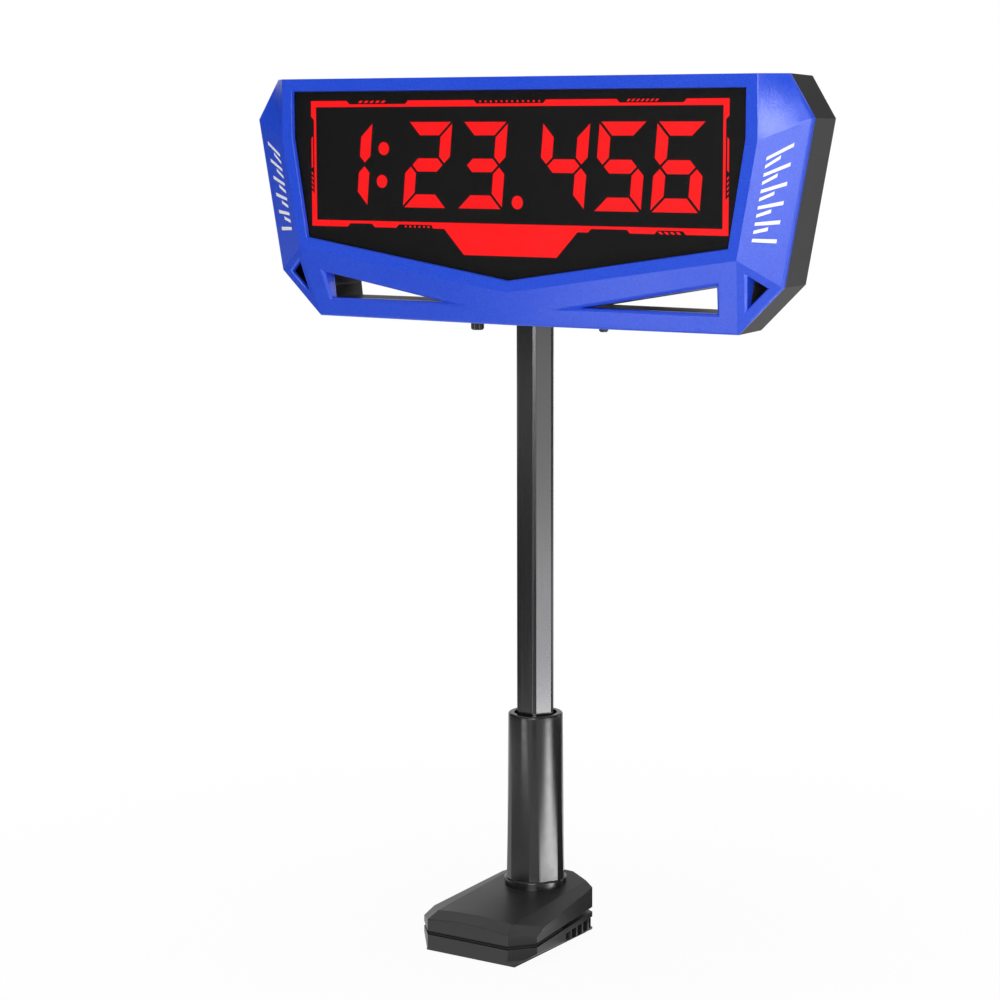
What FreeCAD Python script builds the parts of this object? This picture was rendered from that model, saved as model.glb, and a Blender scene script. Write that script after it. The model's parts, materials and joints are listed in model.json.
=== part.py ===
import FreeCAD, Part
import math
import os

# Speed cube timer display: a wide lit head on a hexagonal pole, standing in a spring clip base.
# Millimetres, +Z up, +Y to the rear. The origin is on the pole's axis, at the ground.
# In the head, "depth" is measured rearwards from the ring's front plane, and "height" from its widest corners.

V = FreeCAD.Vector
REACH = 400.0  # longer than the whole object: the size of cutting tools

# ---- head: outlines as (half width, height), from the top down to the middle of the lower edge
HEAD_CORNER_Z = 382.6
HEAD_TO_POLE = 24.1
HEAD_TOP = 18.9
RIM_HALF = [(138.1, HEAD_TOP), (150.0, 0.0), (136.5, -72.1), (114.4, -93.3), (0.0, -93.3)]
RING_HALF = [(127.9, HEAD_TOP), (128.3, -9.5), (118.6, -60.5), (0.0, -78.1)]
WINDOW_HALF = [(122.0, 12.8), (121.9, -8.7), (113.9, -55.4), (0.0, -72.6)]
TOP_CORNER_DEPTH = 9.3
SIDE_CORNER_DEPTH = 8.8
LOWER_CORNER_DEPTH = 9.8
RIM_BEVEL = 0.7
SEAM_DEPTH = 11.35
BACK_DEPTH = 32.3
BACK_DRAFT = 0.7
BACK_BEVEL = 0.8
SHELL_WALL = 1.6
RING_WALL = 2.4
LIP_DEPTH = 1.8
LIP_DRAFT = 0.5
LIP_OVERLAP = 2.4
FIT_GAP = 0.15

# ---- openings through the head's lower facets, and the small ones in its lower corners
WING_MOUTH = [(21.0, -85.3), (106.5, -85.6), (108.4, -70.3)]
WING_CHAMFER = 1.4
NOTCH_MOUTH = [(121.0, -65.2), (118.1, -84.5), (131.4, -72.3)]
NOTCH_CHAMFER = 1.1
NOTCH_FLOOR_DEPTH = 27.0
COLLAR_WALL = 1.8
COLLAR_START = 20.0

# ---- display
PANE_THICKNESS = 1.0
INK_THICKNESS = 0.15
MASK_THICKNESS = 0.6
BLOCK_DEPTH = 5.2
SEGMENT_DEPTH = 3.6
BOARD_THICKNESS = 1.6
DIGIT_WIDTH = 24.7
DIGIT_HEIGHT = 39.3
DIGIT_STROKE = 6.1
DIGIT_GAP = 1.15
DIGIT_SLANT = 0.09
DIGIT_CENTRE_HEIGHT = -20.9
FIGURES = "123456"
FIGURE_CENTRES = [-91.0, -45.6, -15.0, 28.8, 58.4, 88.0]
POINT_RADIUS = 3.05
POINT_PLACES = [(-70.5, -13.5), (-71.7, -28.7), (4.1, -37.4)]
BLOCK_MARGIN = 1.2
BORDER_MARGIN = 0.9
BORDER_TOP = 8.6
BORDER_BOTTOM = -50.1
BORDER_BAND = 2.9
BORDER_LINE = 1.3
BORDER_CORNER = 21.0
TOP_BAR = (18.0, 58.0)
FOOT_BAR = (62.0, 76.0)
BADGE_TOP_HALF = 36.3
BADGE_FOOT_HALF = 25.2
BADGE_FOOT = -61.8

# ---- head: boards, power and controls
DISPLAY_BOARD = (118.0, 8.6, -52.5)
BOARD_SCREW_PLACES = [(-112.5, 1.5), (112.5, 1.5), (-112.5, -45.5), (112.5, -45.5)]
CONTROL_BOARD = (60.5, 106.0, 8.0, -52.0)
CONTROL_GAP = 3.0
CONTROL_INSET = 4.0
CELL_RADIUS = 5.25
CELL_LENGTH = 44.5
CELL_COUNT = 3
CELL_GAP = 0.3
BOX_WALL = 1.2
BOX_CENTRE_HEIGHT = -9.0
LEAD_RADIUS = 0.7
CONTACT_THICKNESS = 0.4
DOOR_THICKNESS = 1.1
DOOR_EAR = 7.5
DOOR_MARGIN = 2.6
BUZZER_PLACE = (-86.0, -22.0)
BUZZER_RADIUS = 11.0
BUZZER_HEIGHT = 5.0
VENT_COUNT = 5
VENT_WIDTH = 1.6
VENT_LENGTH = 15.0
VENT_PITCH = 3.6
SOCKET_PLACE = (84.0, -42.0)
SOCKET_RADIUS = 3.6
SOCKET_BORE = 1.8
SOCKET_BORE_LENGTH = 14.0
SLIDER_PLACE = (84.0, -8.0)
SLIDER_SIZE = (4.6, 3.2)
SLIDER_TRAVEL = 3.0
SLIDER_PROUD = 1.4
KNOB_PLACE = (-30.8, 21.8)
KNOB_RADIUS = 3.05
KNOB_DROP = 4.3
KNOB_RIBS = 20
BUTTON_PLACE = (38.5, 21.8)
BUTTON_RADIUS = 2.1
BUTTON_DROP = 2.5
BUTTON_RIBS = 12
BUTTON_TRAVEL = 0.6
RIB_DEPTH = 0.22
STEM_RADIUS = 1.5
RUNNING_GAP = 0.06
UNDER_GAP = 0.3
CONTROL_BODY = 7.0
CONTROL_BODY_HEIGHT = 3.3

# ---- fasteners: shaft radius, head radius and head height
SMALL_SCREW = (1.1, 2.1, 1.2)
SHELL_SCREW = (1.3, 2.6, 1.6)
SHELL_SCREW_LENGTH = 10.0
SHELL_SCREW_PLACES = [(136.0, -4.0), (126.0, -52.0), (17.3, -84.4), (70.0, 14.4)]
POST_RADIUS = 3.2
POST_SEAT_DEPTH = 18.0

# ---- pole and the column that it stands in
POLE_FLATS = 16.9
POLE_BEVEL = 1.7
POLE_WALL = 1.2
POLE_SEAT_Z = 36.0
POLE_TOP_HEIGHT = -42.0
PLUG_FLANGE = 2.0
PLUG_LENGTH = 12.0
SOCKET_GAP = 0.15
HEAD_SOCKET_WALL = 2.2
HEAD_SOCKET_HALF = 12.4
HUMP_BEVEL = 1.5
COLUMN_TOP_Z = 105.9
COLUMN_TOP_RADIUS = 12.9
COLUMN_FOOT_Z = 26.7
COLUMN_FOOT_FLATS = 27.0
COLUMN_FOOT_BEVEL = 4.8
COLUMN_STRIP_ANGLE = 3.0
COLUMN_MOUTH_RADIUS = 10.0
COLUMN_MOUTH_DEPTH = 12.0
FLANGE_RADIUS = 14.8
FLANGE_BEVEL = 0.8
COLUMN_SCREW_CIRCLE = 10.0
COLUMN_SCREW_LENGTH = 12.0

# ---- base: plan outline as (half width, y), front to rear
BASE_HALF = [(22.3, -57.5), (31.6, -47.2), (25.6, 10.1), (9.1, 19.0)]
BASE_FRONT_Y = BASE_HALF[0][1]
FOOT_PAD = 1.3
FOOT_PAD_HALF = [(24.5, -55.1), (23.0, 9.0), (8.0, 16.6)]
LOWER_TOP_FRONT_Z = 8.3
LOWER_TOP_SLOPE = 0.0284
UPPER_FOOT_FRONT_Z = 10.1
UPPER_FOOT_SLOPE = 0.0325
KEEL_HALF = 25.0
KEEL_SLOPE = 0.62
ROOF_RADIUS = 190.0
ROOF_FRONT_Z = 19.7
ROOF_FRONT_Y = -51.1
ROOF_SLOPE = 0.082
NOSE_Z = 16.9
NOSE_SLOPE = 0.45
SIDE_BEVEL_POINT = (31.1, -42.1, 16.2)
SIDE_BEVEL_SLOPES = (-0.299, 0.0815)
CORNER_BEVEL_POINT = (22.3, -57.5, 15.4)
CORNER_BEVEL_SLOPES = (-0.592, 0.348)
JAW_WALL = 2.2
JAW_ROOF = 2.0
LOWER_ROOF = 1.6
PLATE_THICKNESS = 1.6
COVER_THICKNESS = 1.6
BALLAST_GAP = 0.4
UPPER_BALLAST = (21.5, -47.0, -13.5)
JAW_PAD = 0.75
JAW_PAD_REAR_Y = -19.1
JAW_PAD_INSET = 1.2
SLOT_COUNT = 5
SLOT_WIDTH = 4.4
SLOT_PITCH = 6.0
SLOT_FIRST_Y = -17.6
SLOT_DEPTH = 3.6
SLOT_FOOT_Z = 2.7
SLOT_ROOF = 2.4
REAR_CAVITY_HALF = 20.0
PLATE_SCREW_PLACES = [(15.0, -47.0), (17.0, -24.5)]
COVER_SCREW_PLACES = [(13.0, -48.0), (14.0, 6.5)]
BOSS_RADIUS = 2.7

# ---- clip hinge and its spring
HINGE_Y = -3.0
HINGE_Z = 15.5
PIN_RADIUS = 1.5
PIN_PRESS_GAP = 0.01
EAR_RADIUS = 3.6
EAR_INNER = 13.0
EAR_THICKNESS = 3.6
EAR_GAP = 0.3
LUG_THICKNESS = 3.0
PIN_OVERHANG = 1.6
CLIP_THICKNESS = 0.6
CLIP_RADIUS = 2.5
SPRING_WIRE = 0.9
SPRING_TURNS = 6
SPRING_PITCH = 1.3
SPRING_LEG_REACH = 9.0
SNAP_MOUTH = 2.5

HEAD_FRONT_Y = -HEAD_TO_POLE
HEAD_BACK_Y = HEAD_FRONT_Y + BACK_DEPTH
HEAD_BOTTOM = RIM_HALF[-1][1]
PANE_DEPTH = LIP_DEPTH
INK_DEPTH = PANE_DEPTH + PANE_THICKNESS
MASK_DEPTH = INK_DEPTH + INK_THICKNESS
BLOCK_FRONT = MASK_DEPTH + MASK_THICKNESS
DISPLAY_BOARD_DEPTH = BLOCK_FRONT + BLOCK_DEPTH
CONTROL_BOARD_DEPTH = DISPLAY_BOARD_DEPTH + BOARD_THICKNESS + CONTROL_GAP
CONTROL_REAR_DEPTH = CONTROL_BOARD_DEPTH + BOARD_THICKNESS
WALL_DEPTH = BACK_DEPTH - SHELL_WALL
CONTROL_SEAT = SHELL_WALL + BACK_DRAFT
CELL_DEPTH = WALL_DEPTH - CELL_GAP - CELL_RADIUS


# ---- plane geometry
def inset(points, distance):
    """Move each side of an anticlockwise polygon inwards by a distance, or outwards if it is negative."""
    moved = []
    for index, corner in enumerate(points):
        before = points[index - 1]
        after = points[(index + 1) % len(points)]
        first = side_normal(before, corner)
        second = side_normal(corner, after)
        turn = first[0] * second[1] - first[1] * second[0]
        if abs(turn) < 1e-6:
            shift = first
        else:
            shift = ((second[1] - first[1]) / turn, (first[0] - second[0]) / turn)
        moved.append((corner[0] + distance * shift[0], corner[1] + distance * shift[1]))
    return moved


def side_normal(start, end):
    """Unit vector to the left of a side."""
    length = math.hypot(end[0] - start[0], end[1] - start[1])
    return (-(end[1] - start[1]) / length, (end[0] - start[0]) / length)


def both_sides(half):
    """Close a right-hand half outline, given from the top down, into a whole anticlockwise one."""
    left = [(-x, height) for x, height in half]
    right = [(x, height) for x, height in reversed(half) if x > 0]
    return left + right


def plan_both_sides(half):
    """Close a right-hand half plan, given front to rear, into a whole anticlockwise one."""
    return list(half) + [(-x, y) for x, y in reversed(half)]


def mirrored_places(places):
    """Each place and its twin on the other side of the middle."""
    return [(side * x, other) for x, other in places for side in (-1, 1)]


def chamfered_hexagon(across_flats, bevel):
    """Twelve corners of a hexagon with its corners cut off: flats face front and rear."""
    apothem = across_flats / 2
    half_flat = apothem * math.tan(math.radians(30)) - bevel / math.sqrt(3)
    points = []
    for step in range(6):
        turn = math.radians(60 * step + 30)
        for along in (-half_flat, half_flat):
            x = apothem * math.cos(turn) - along * math.sin(turn)
            y = apothem * math.sin(turn) + along * math.cos(turn)
            points.append((x, y))
    return points


# ---- solids from outlines
def polygon(vectors):
    return Part.Face(Part.makePolygon(vectors + vectors[:1]))


def plan_prism(points, low, high):
    """A plan outline raised from one height to another."""
    return polygon([V(x, y, low) for x, y in points]).extrude(V(0, 0, high - low))


def head_point(x, depth, height):
    return V(x, HEAD_FRONT_Y + depth, HEAD_CORNER_Z + height)


def depth_prism(points, front, back):
    """An outline seen from the front, carried rearwards from one depth to another."""
    return polygon([head_point(x, front, height) for x, height in points]).extrude(V(0, back - front, 0))


def depth_box(left, right, low, high, front, back):
    """A box in the head, from its sides, heights and depths."""
    return Part.makeBox(right - left, back - front, high - low, head_point(left, front, low))


def depth_cylinder(place, radius, front, back):
    """A round bar in the head that runs front to rear."""
    return Part.makeCylinder(radius, back - front, head_point(place[0], front, place[1]), V(0, 1, 0))


def upright_cylinder(x, y, radius, low, high):
    return Part.makeCylinder(radius, high - low, V(x, y, low))


def upright_square(x, y, half, low, high):
    """A square bar that stands upright."""
    return Part.makeBox(2 * half, 2 * half, high - low, V(x - half, y - half, low))


def depth_loft(sections):
    """A solid through outlines at several depths."""
    wires = []
    for points, depth in sections:
        vectors = [head_point(x, depth, height) for x, height in points]
        wires.append(Part.makePolygon(vectors + vectors[:1]))
    return Part.makeLoft(wires, True, True)


def half_space(point, normal):
    """Everything beyond a plane, as far as the object reaches."""
    return Part.makeCylinder(REACH, REACH, point, normal)


def mirrored(shape):
    return shape.mirror(V(0, 0, 0), V(1, 0, 0))


def with_twin(shape):
    return shape.fuse(mirrored(shape))


def group(solids):
    return Part.makeCompound(solids)


def plane_depth(first, second, third):
    """Depth of the plane through three (x, depth, height) points, as a function of place."""
    a = V(*first)
    normal = (V(*second) - a).cross(V(*third) - a)
    return lambda x, height: a.y - (normal.x * (x - a.x) + normal.z * (height - a.z)) / normal.y


# ---- the faceted form of the head
def facet_depths():
    """Depth of the lower front facet and of the lower corner facet, on the right-hand side."""
    shoulder, keel = RING_HALF[2], RING_HALF[3]
    side, lower_side, lower = RIM_HALF[1], RIM_HALF[2], RIM_HALF[3]
    flank = plane_depth((RING_HALF[1][0], 0, RING_HALF[1][1]), (shoulder[0], 0, shoulder[1]),
                        (side[0], SIDE_CORNER_DEPTH, side[1]))
    vee = plane_depth((shoulder[0], 0, shoulder[1]), (keel[0], 0, keel[1]),
                      (lower[0], LOWER_CORNER_DEPTH, lower[1]))
    corner = plane_depth((shoulder[0], 0, shoulder[1]),
                         (lower_side[0], flank(*lower_side), lower_side[1]),
                         (lower[0], LOWER_CORNER_DEPTH, lower[1]))
    return flank, vee, corner


def ruled(a, b, c, d):
    """A face with four straight edges that needn't lie in one plane."""
    return Part.makeRuledSurface(Part.makeLine(a, b), Part.makeLine(d, c))


def head_form(wall, front, rim_bevel, back):
    """The bezel's faceted form, shrunk by a wall and moved back by a front thickness, up to a flat back."""
    top = HEAD_TOP - wall
    ring = [(x, min(height, top)) for x, height in inset(both_sides(RING_HALF), wall / 2)]
    edge = inset(both_sides(RIM_HALF), wall)
    rim = [(x, top if height > top - 2 * rim_bevel else height) for x, height in inset(edge, rim_bevel)]
    flank, vee, _ = facet_depths()
    lower_side, keel = RIM_HALF[2], RIM_HALF[4]
    half_depths = [TOP_CORNER_DEPTH, SIDE_CORNER_DEPTH, flank(*lower_side), LOWER_CORNER_DEPTH, vee(*keel)]
    depths = half_depths + half_depths[-2::-1]
    ring_at = [head_point(x, front, height) for x, height in ring]
    rim_at = [head_point(x, depth + front, height) for (x, height), depth in zip(rim, depths)]
    edge_at = [head_point(x, depth + front + rim_bevel, height) for (x, height), depth in zip(edge, depths)]
    back_at = [head_point(x, back, height) for x, height in edge]
    left, right = len(rim_at), len(ring_at)
    faces = [polygon(ring_at), polygon(back_at)]
    for turn in (1, -1):
        def ring_point(index):
            return ring_at[index if turn > 0 else right - 1 - index]

        def rim_point(index):
            return rim_at[index if turn > 0 else left - 1 - index]
        faces.append(ruled(ring_point(0), ring_point(1), rim_point(1), rim_point(0)))
        faces.append(ruled(ring_point(1), ring_point(2), rim_point(2), rim_point(1)))
        faces.append(polygon([ring_point(2), rim_point(2), rim_point(3)]))
        faces.append(ruled(ring_point(2), ring_point(3), rim_point(4), rim_point(3)))
    sides = list(zip(range(left - 1), range(1, left)))
    for start, end in sides:
        if rim_bevel > 0:
            faces.append(ruled(rim_at[start], rim_at[end], edge_at[end], edge_at[start]))
        faces.append(polygon([edge_at[start], edge_at[end], back_at[end], back_at[start]]))
    roof = [ring_at[0], rim_at[0]]
    if rim_bevel > 0:
        roof.append(edge_at[0])
    roof.append(back_at[0])
    roof.append(back_at[-1])
    if rim_bevel > 0:
        roof.append(edge_at[-1])
    roof += [rim_at[-1], ring_at[-1]]
    faces.append(polygon(roof))
    shell = Part.makeShell(faces)
    shell.sewShape()
    solid = Part.makeSolid(shell)
    if solid.Volume < 0:
        solid.reverse()
    return solid


def mouth_chamfer(mouth, size, depth_at):
    """The wedge that a chamfer takes off a three-cornered opening in a sloping facet."""
    step = 0.4
    front = [head_point(x, depth_at(x, height) - step, height) for x, height in inset(mouth, -step)]
    rear = [head_point(x, depth_at(x, height) + size, height) for x, height in inset(mouth, size)]
    faces = [polygon(front), polygon(rear)]
    for index in range(3):
        after = (index + 1) % 3
        faces.append(polygon([front[index], front[after], rear[after], rear[index]]))
    shell = Part.makeShell(faces)
    shell.sewShape()
    solid = Part.makeSolid(shell)
    if solid.Volume < 0:
        solid.reverse()
    return solid


def wing_hole():
    return inset(WING_MOUTH, WING_CHAMFER)


def notch_hole():
    return inset(NOTCH_MOUTH, NOTCH_CHAMFER)


def collars(front, back, notch_back):
    """The walls around the right-hand openings, as full blocks."""
    wing = depth_prism(inset(wing_hole(), -COLLAR_WALL), front, back)
    wing = wing.common(depth_box(COLLAR_START, REACH, -REACH, 0, front, back))
    notch = depth_prism(inset(notch_hole(), -COLLAR_WALL), front, notch_back)
    return wing.fuse(notch)


def shell_screw_places():
    return mirrored_places(SHELL_SCREW_PLACES)


def front_bezel():
    outer = head_form(0, 0, RIM_BEVEL, SEAM_DEPTH)
    inner = head_form(SHELL_WALL, RING_WALL, 0, SEAM_DEPTH + SHELL_WALL * 2)
    walls = with_twin(collars(RING_WALL / 2, SEAM_DEPTH, SEAM_DEPTH))
    for place in shell_screw_places():
        front = BLOCK_FRONT if place[1] > 0 else RING_WALL / 2
        walls = walls.fuse(depth_cylinder(place, POST_RADIUS, front, SEAM_DEPTH))
    shape = outer.cut(inner).fuse(walls.common(outer))
    _, vee, corner = facet_depths()
    holes = depth_prism(wing_hole(), -1, SEAM_DEPTH + 1)
    holes = holes.fuse(depth_prism(notch_hole(), -1, SEAM_DEPTH + 1))
    holes = holes.fuse(mouth_chamfer(WING_MOUTH, WING_CHAMFER, vee))
    holes = holes.fuse(mouth_chamfer(NOTCH_MOUTH, NOTCH_CHAMFER, corner))
    shape = shape.cut(with_twin(holes))
    window = both_sides(WINDOW_HALF)
    mouth = inset(window, -LIP_DRAFT)
    shape = shape.cut(depth_loft([(mouth, 0), (window, LIP_DEPTH)]))
    seat = inset(window, -LIP_OVERLAP - FIT_GAP)
    shape = shape.cut(depth_prism(seat, LIP_DEPTH, BLOCK_FRONT))
    shaft = SHELL_SCREW[0]
    for place in shell_screw_places():
        shape = shape.cut(depth_cylinder(place, shaft, POST_SEAT_DEPTH - SHELL_SCREW_LENGTH - 1, REACH))
    return shape


def window_pane():
    return depth_prism(inset(both_sides(WINDOW_HALF), -LIP_OVERLAP), PANE_DEPTH, INK_DEPTH)


# ---- seven-segment figures
LIT = {"1": "bc", "2": "abged", "3": "abgcd", "4": "fgbc", "5": "afgcd", "6": "afgedc"}


def segment_outline(letter):
    """One segment of an upright figure that is centred on the origin."""
    half, rise, stroke = DIGIT_WIDTH / 2, DIGIT_HEIGHT / 2, DIGIT_STROKE
    gap = DIGIT_GAP / math.sqrt(2)
    bar = [(-half + gap, rise), (-half + stroke + gap, rise - stroke),
           (half - stroke - gap, rise - stroke), (half - gap, rise)]
    post = [(-half, rise - gap), (-half, stroke / 2 + gap), (-half + stroke / 2, gap),
            (-half + stroke, stroke / 2 + gap), (-half + stroke, rise - stroke - gap)]
    middle = [(-half + stroke / 2 + gap, 0), (-half + stroke + gap, -stroke / 2),
              (half - stroke - gap, -stroke / 2), (half - stroke / 2 - gap, 0),
              (half - stroke - gap, stroke / 2), (-half + stroke + gap, stroke / 2)]
    across = {"a": (1, 1), "d": (1, -1), "f": (1, 1), "b": (-1, 1), "e": (1, -1), "c": (-1, -1)}
    if letter == "g":
        return middle
    turn_x, turn_y = across[letter]
    outline = [(turn_x * x, turn_y * y) for x, y in (bar if letter in "ad" else post)]
    return outline if turn_x * turn_y > 0 else outline[::-1]


def slanted(outline, centre):
    """Lean a figure's outline and move it to its place in the head."""
    return [(centre + x + DIGIT_SLANT * y, DIGIT_CENTRE_HEIGHT + y) for x, y in outline]


def segments(lit):
    """Outlines of the segments that glow, or of those that stay dark."""
    found = []
    for figure, centre in zip(FIGURES, FIGURE_CENTRES):
        for letter in "abcdefg":
            if (letter in LIT[figure]) == lit:
                found.append(slanted(segment_outline(letter), centre))
    return found


def light_guides(lit):
    back = MASK_DEPTH + SEGMENT_DEPTH
    return group([depth_prism(outline, MASK_DEPTH, back) for outline in segments(lit)])


def point_lights():
    back = MASK_DEPTH + SEGMENT_DEPTH
    return group([depth_cylinder(place, POINT_RADIUS, MASK_DEPTH, back) for place in POINT_PLACES])


def digit_block(centre):
    """The reflector block behind one figure, with a pocket for each segment."""
    half = DIGIT_WIDTH / 2 + BLOCK_MARGIN
    rise = DIGIT_HEIGHT / 2 + BLOCK_MARGIN
    body = slanted([(-half, -rise), (half, -rise), (half, rise), (-half, rise)], centre)
    shape = depth_prism(body, BLOCK_FRONT, BLOCK_FRONT + BLOCK_DEPTH)
    pocket_back = MASK_DEPTH + SEGMENT_DEPTH
    pockets = [slanted(segment_outline(letter), centre) for letter in "abcdefg"]
    return shape.cut([depth_prism(outline, BLOCK_FRONT, pocket_back) for outline in pockets])


def point_block():
    """The small blocks behind the colon and the decimal point."""
    solids = []
    for column in (POINT_PLACES[:2], POINT_PLACES[2:]):
        low = min(height for _, height in column) - POINT_RADIUS - BLOCK_MARGIN
        high = max(height for _, height in column) + POINT_RADIUS + BLOCK_MARGIN
        left = min(x for x, _ in column) - POINT_RADIUS - BLOCK_MARGIN
        right = max(x for x, _ in column) + POINT_RADIUS + BLOCK_MARGIN
        block = depth_box(left, right, low, high, BLOCK_FRONT, BLOCK_FRONT + BLOCK_DEPTH)
        pockets = [depth_cylinder(place, POINT_RADIUS, BLOCK_FRONT, MASK_DEPTH + SEGMENT_DEPTH)
                   for place in column]
        solids.append(block.cut(pockets))
    return group(solids)


def display_mask():
    """Black sheet behind the pane, cut out where light comes through."""
    shape = depth_prism(inset(both_sides(WINDOW_HALF), -LIP_OVERLAP), MASK_DEPTH, BLOCK_FRONT)
    windows = [depth_prism(outline, MASK_DEPTH, BLOCK_FRONT) for outline in segments(True) + segments(False)]
    windows += [depth_cylinder(place, POINT_RADIUS, MASK_DEPTH, BLOCK_FRONT) for place in POINT_PLACES]
    return shape.cut(windows)


# ---- printed border on the rear of the pane
def ink(points):
    return depth_prism(points, INK_DEPTH, MASK_DEPTH)


def slashes(start, low, high, count, lean, width, pitch):
    """A row of leaning strokes, from a start position to the right."""
    found = []
    for index in range(count):
        x = start + index * pitch
        found.append([(x, low), (x + width, low), (x + width + lean, high), (x + lean, high)])
    return found


def dots(start, height, count, size, pitch):
    found = []
    for index in range(count):
        x = start + index * pitch
        found.append([(x, height - size / 2), (x + size, height - size / 2),
                      (x + size, height + size / 2), (x, height + size / 2)])
    return found


def border_half():
    """Half the printed frame's width: the window's width at its lower corners, less a margin."""
    return WINDOW_HALF[2][0] - BORDER_MARGIN


def border_sides(half, top, bottom):
    """The frame's uprights with their heavier corners, strokes and bars, on both sides."""
    band, line, corner = BORDER_BAND, BORDER_LINE, BORDER_CORNER
    inner, taper = half - band, band - line
    thin_top, thin_bottom = top - taper, bottom + taper
    found = []
    for side in (-1, 1):
        upright = [(side * inner, bottom + band), (side * (inner + line), bottom + band),
                   (side * (inner + line), top - band), (side * inner, top - band)]
        upper = [(side * half, top), (side * (half - corner), top),
                 (side * (half - corner - taper), thin_top), (side * inner, thin_top),
                 (side * inner, top - band), (side * (inner + line), top - band),
                 (side * (inner + line), top - band - 6.0), (side * half, top - band - 6.0 + taper)]
        lower = [(side * half, bottom), (side * half, bottom + band + 14.0),
                 (side * (inner + line), bottom + band + 14.0 - taper), (side * (inner + line), bottom + band),
                 (side * inner, bottom + band), (side * inner, thin_bottom),
                 (side * (half - corner - taper), thin_bottom), (side * (half - corner), bottom)]
        flash = [(side * (inner + line + 0.7), -8.0), (side * half, -8.0 - 0.9),
                 (side * half, -23.0), (side * (inner + line + 0.7), -23.0 + 0.9)]
        found += [upright, upper, lower, flash]
        for index in range(4):
            low = -26.4 - 2.2 * index
            found.append([(side * (inner + line + 0.7), low), (side * half, low + 1.0),
                          (side * half, low + 2.0), (side * (inner + line + 0.7), low + 1.0)])
        near, far = TOP_BAR
        found.append([(side * near, thin_top), (side * far, thin_top),
                      (side * (far - taper), top), (side * (near + taper), top)])
        near, far = FOOT_BAR
        found.append([(side * near, thin_bottom), (side * (near + taper), bottom),
                      (side * far, bottom), (side * (far + taper), thin_bottom)])
    return found


def printed_border():
    """A thin line frame with heavier corners, bars, strokes and dots, and a bare badge below."""
    half, top, bottom = border_half(), BORDER_TOP, BORDER_BOTTOM
    band, line = BORDER_BAND, BORDER_LINE
    inner, taper = half - band, band - line
    thin_top, thin_bottom = top - taper, bottom + taper
    frame = [[(-inner, top - band), (inner, top - band), (inner, thin_top), (-inner, thin_top)],
             [(-inner, thin_bottom), (inner, thin_bottom), (inner, bottom + band), (-inner, bottom + band)]]
    frame += border_sides(half, top, bottom)
    low, high = thin_top + 0.5, top
    frame += slashes(-TOP_BAR[1] - 27.2, low, high, 5, 1.1, 1.7, 3.3)
    frame += slashes(TOP_BAR[1] + 3.5, low, high, 7, 1.1, 1.1, 2.4)
    frame += dots(-16.4, top - 0.7, 12, 0.9, 2.9)
    frame += slashes(FOOT_BAR[1] + 3.0, bottom, thin_bottom - 0.5, 4, -1.1, 1.6, 3.0)
    frame += dots(3.4 - FOOT_BAR[0], bottom + 0.7, 7, 0.9, 2.6)
    shoulder = BADGE_TOP_HALF + 5.5
    badge = [(-BADGE_FOOT_HALF, BADGE_FOOT), (BADGE_FOOT_HALF, BADGE_FOOT), (BADGE_TOP_HALF, bottom),
             (shoulder, bottom), (shoulder + taper, thin_bottom), (-shoulder - taper, thin_bottom),
             (-shoulder, bottom), (-BADGE_TOP_HALF, bottom)]
    frame.append(badge)
    joined = ink(frame[0])
    joined = joined.fuse([ink(points) for points in frame[1:]])
    return joined.removeSplitter()


# ---- the rear housing and what it holds
def battery_box_outline(margin):
    half = CELL_LENGTH / 2 + CELL_GAP * 2 + CONTACT_THICKNESS + BOX_WALL + margin
    rise = CELL_COUNT * (CELL_RADIUS + CELL_GAP / 2) + CELL_GAP / 2 + BOX_WALL + margin
    low, high = BOX_CENTRE_HEIGHT - rise, BOX_CENTRE_HEIGHT + rise
    return [(-half, low), (half, low), (half, high), (-half, high)]


def door_outline(margin):
    (left, low), (right, high) = battery_box_outline(0)[0], battery_box_outline(0)[2]
    return [(left - DOOR_EAR - margin, low - DOOR_MARGIN - margin),
            (right + DOOR_EAR + margin, low - DOOR_MARGIN - margin),
            (right + DOOR_EAR + margin, high + DOOR_MARGIN + margin),
            (left - DOOR_EAR - margin, high + DOOR_MARGIN + margin)]


def door_screw_places():
    right = battery_box_outline(0)[2][0]
    return mirrored_places([(right + DOOR_EAR / 2 + 0.4, BOX_CENTRE_HEIGHT)])


def control_post_places():
    left, right, high, low = CONTROL_BOARD
    return [(x, height) for x in (left + CONTROL_INSET, right - CONTROL_INSET)
            for height in (low + CONTROL_INSET, high - CONTROL_INSET)]


def pole_socket_top():
    return POLE_TOP_HEIGHT + HEAD_SOCKET_WALL


def pole_socket_block():
    """The block that holds the pole inside the head, with the hump that it makes at the rear."""
    rear_y = POLE_FLATS / 2 + SOCKET_GAP + HEAD_SOCKET_WALL
    half, bevel = HEAD_SOCKET_HALF, HUMP_BEVEL
    plan = [(-half, -rear_y), (half, -rear_y), (half, rear_y - bevel), (half - bevel, rear_y),
            (bevel - half, rear_y), (-half, rear_y - bevel)]
    block = plan_prism(plan, HEAD_CORNER_Z + HEAD_BOTTOM, HEAD_CORNER_Z + pole_socket_top())
    ramp_point = V(0, rear_y, HEAD_CORNER_Z + pole_socket_top() - bevel * 2)
    return block.cut(half_space(ramp_point, V(0, 1, 1)))


def pole_socket_bore():
    socket = chamfered_hexagon(POLE_FLATS + 2 * SOCKET_GAP, POLE_BEVEL)
    return plan_prism(socket, HEAD_CORNER_Z + HEAD_BOTTOM - 1, HEAD_CORNER_Z + POLE_TOP_HEIGHT)


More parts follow.
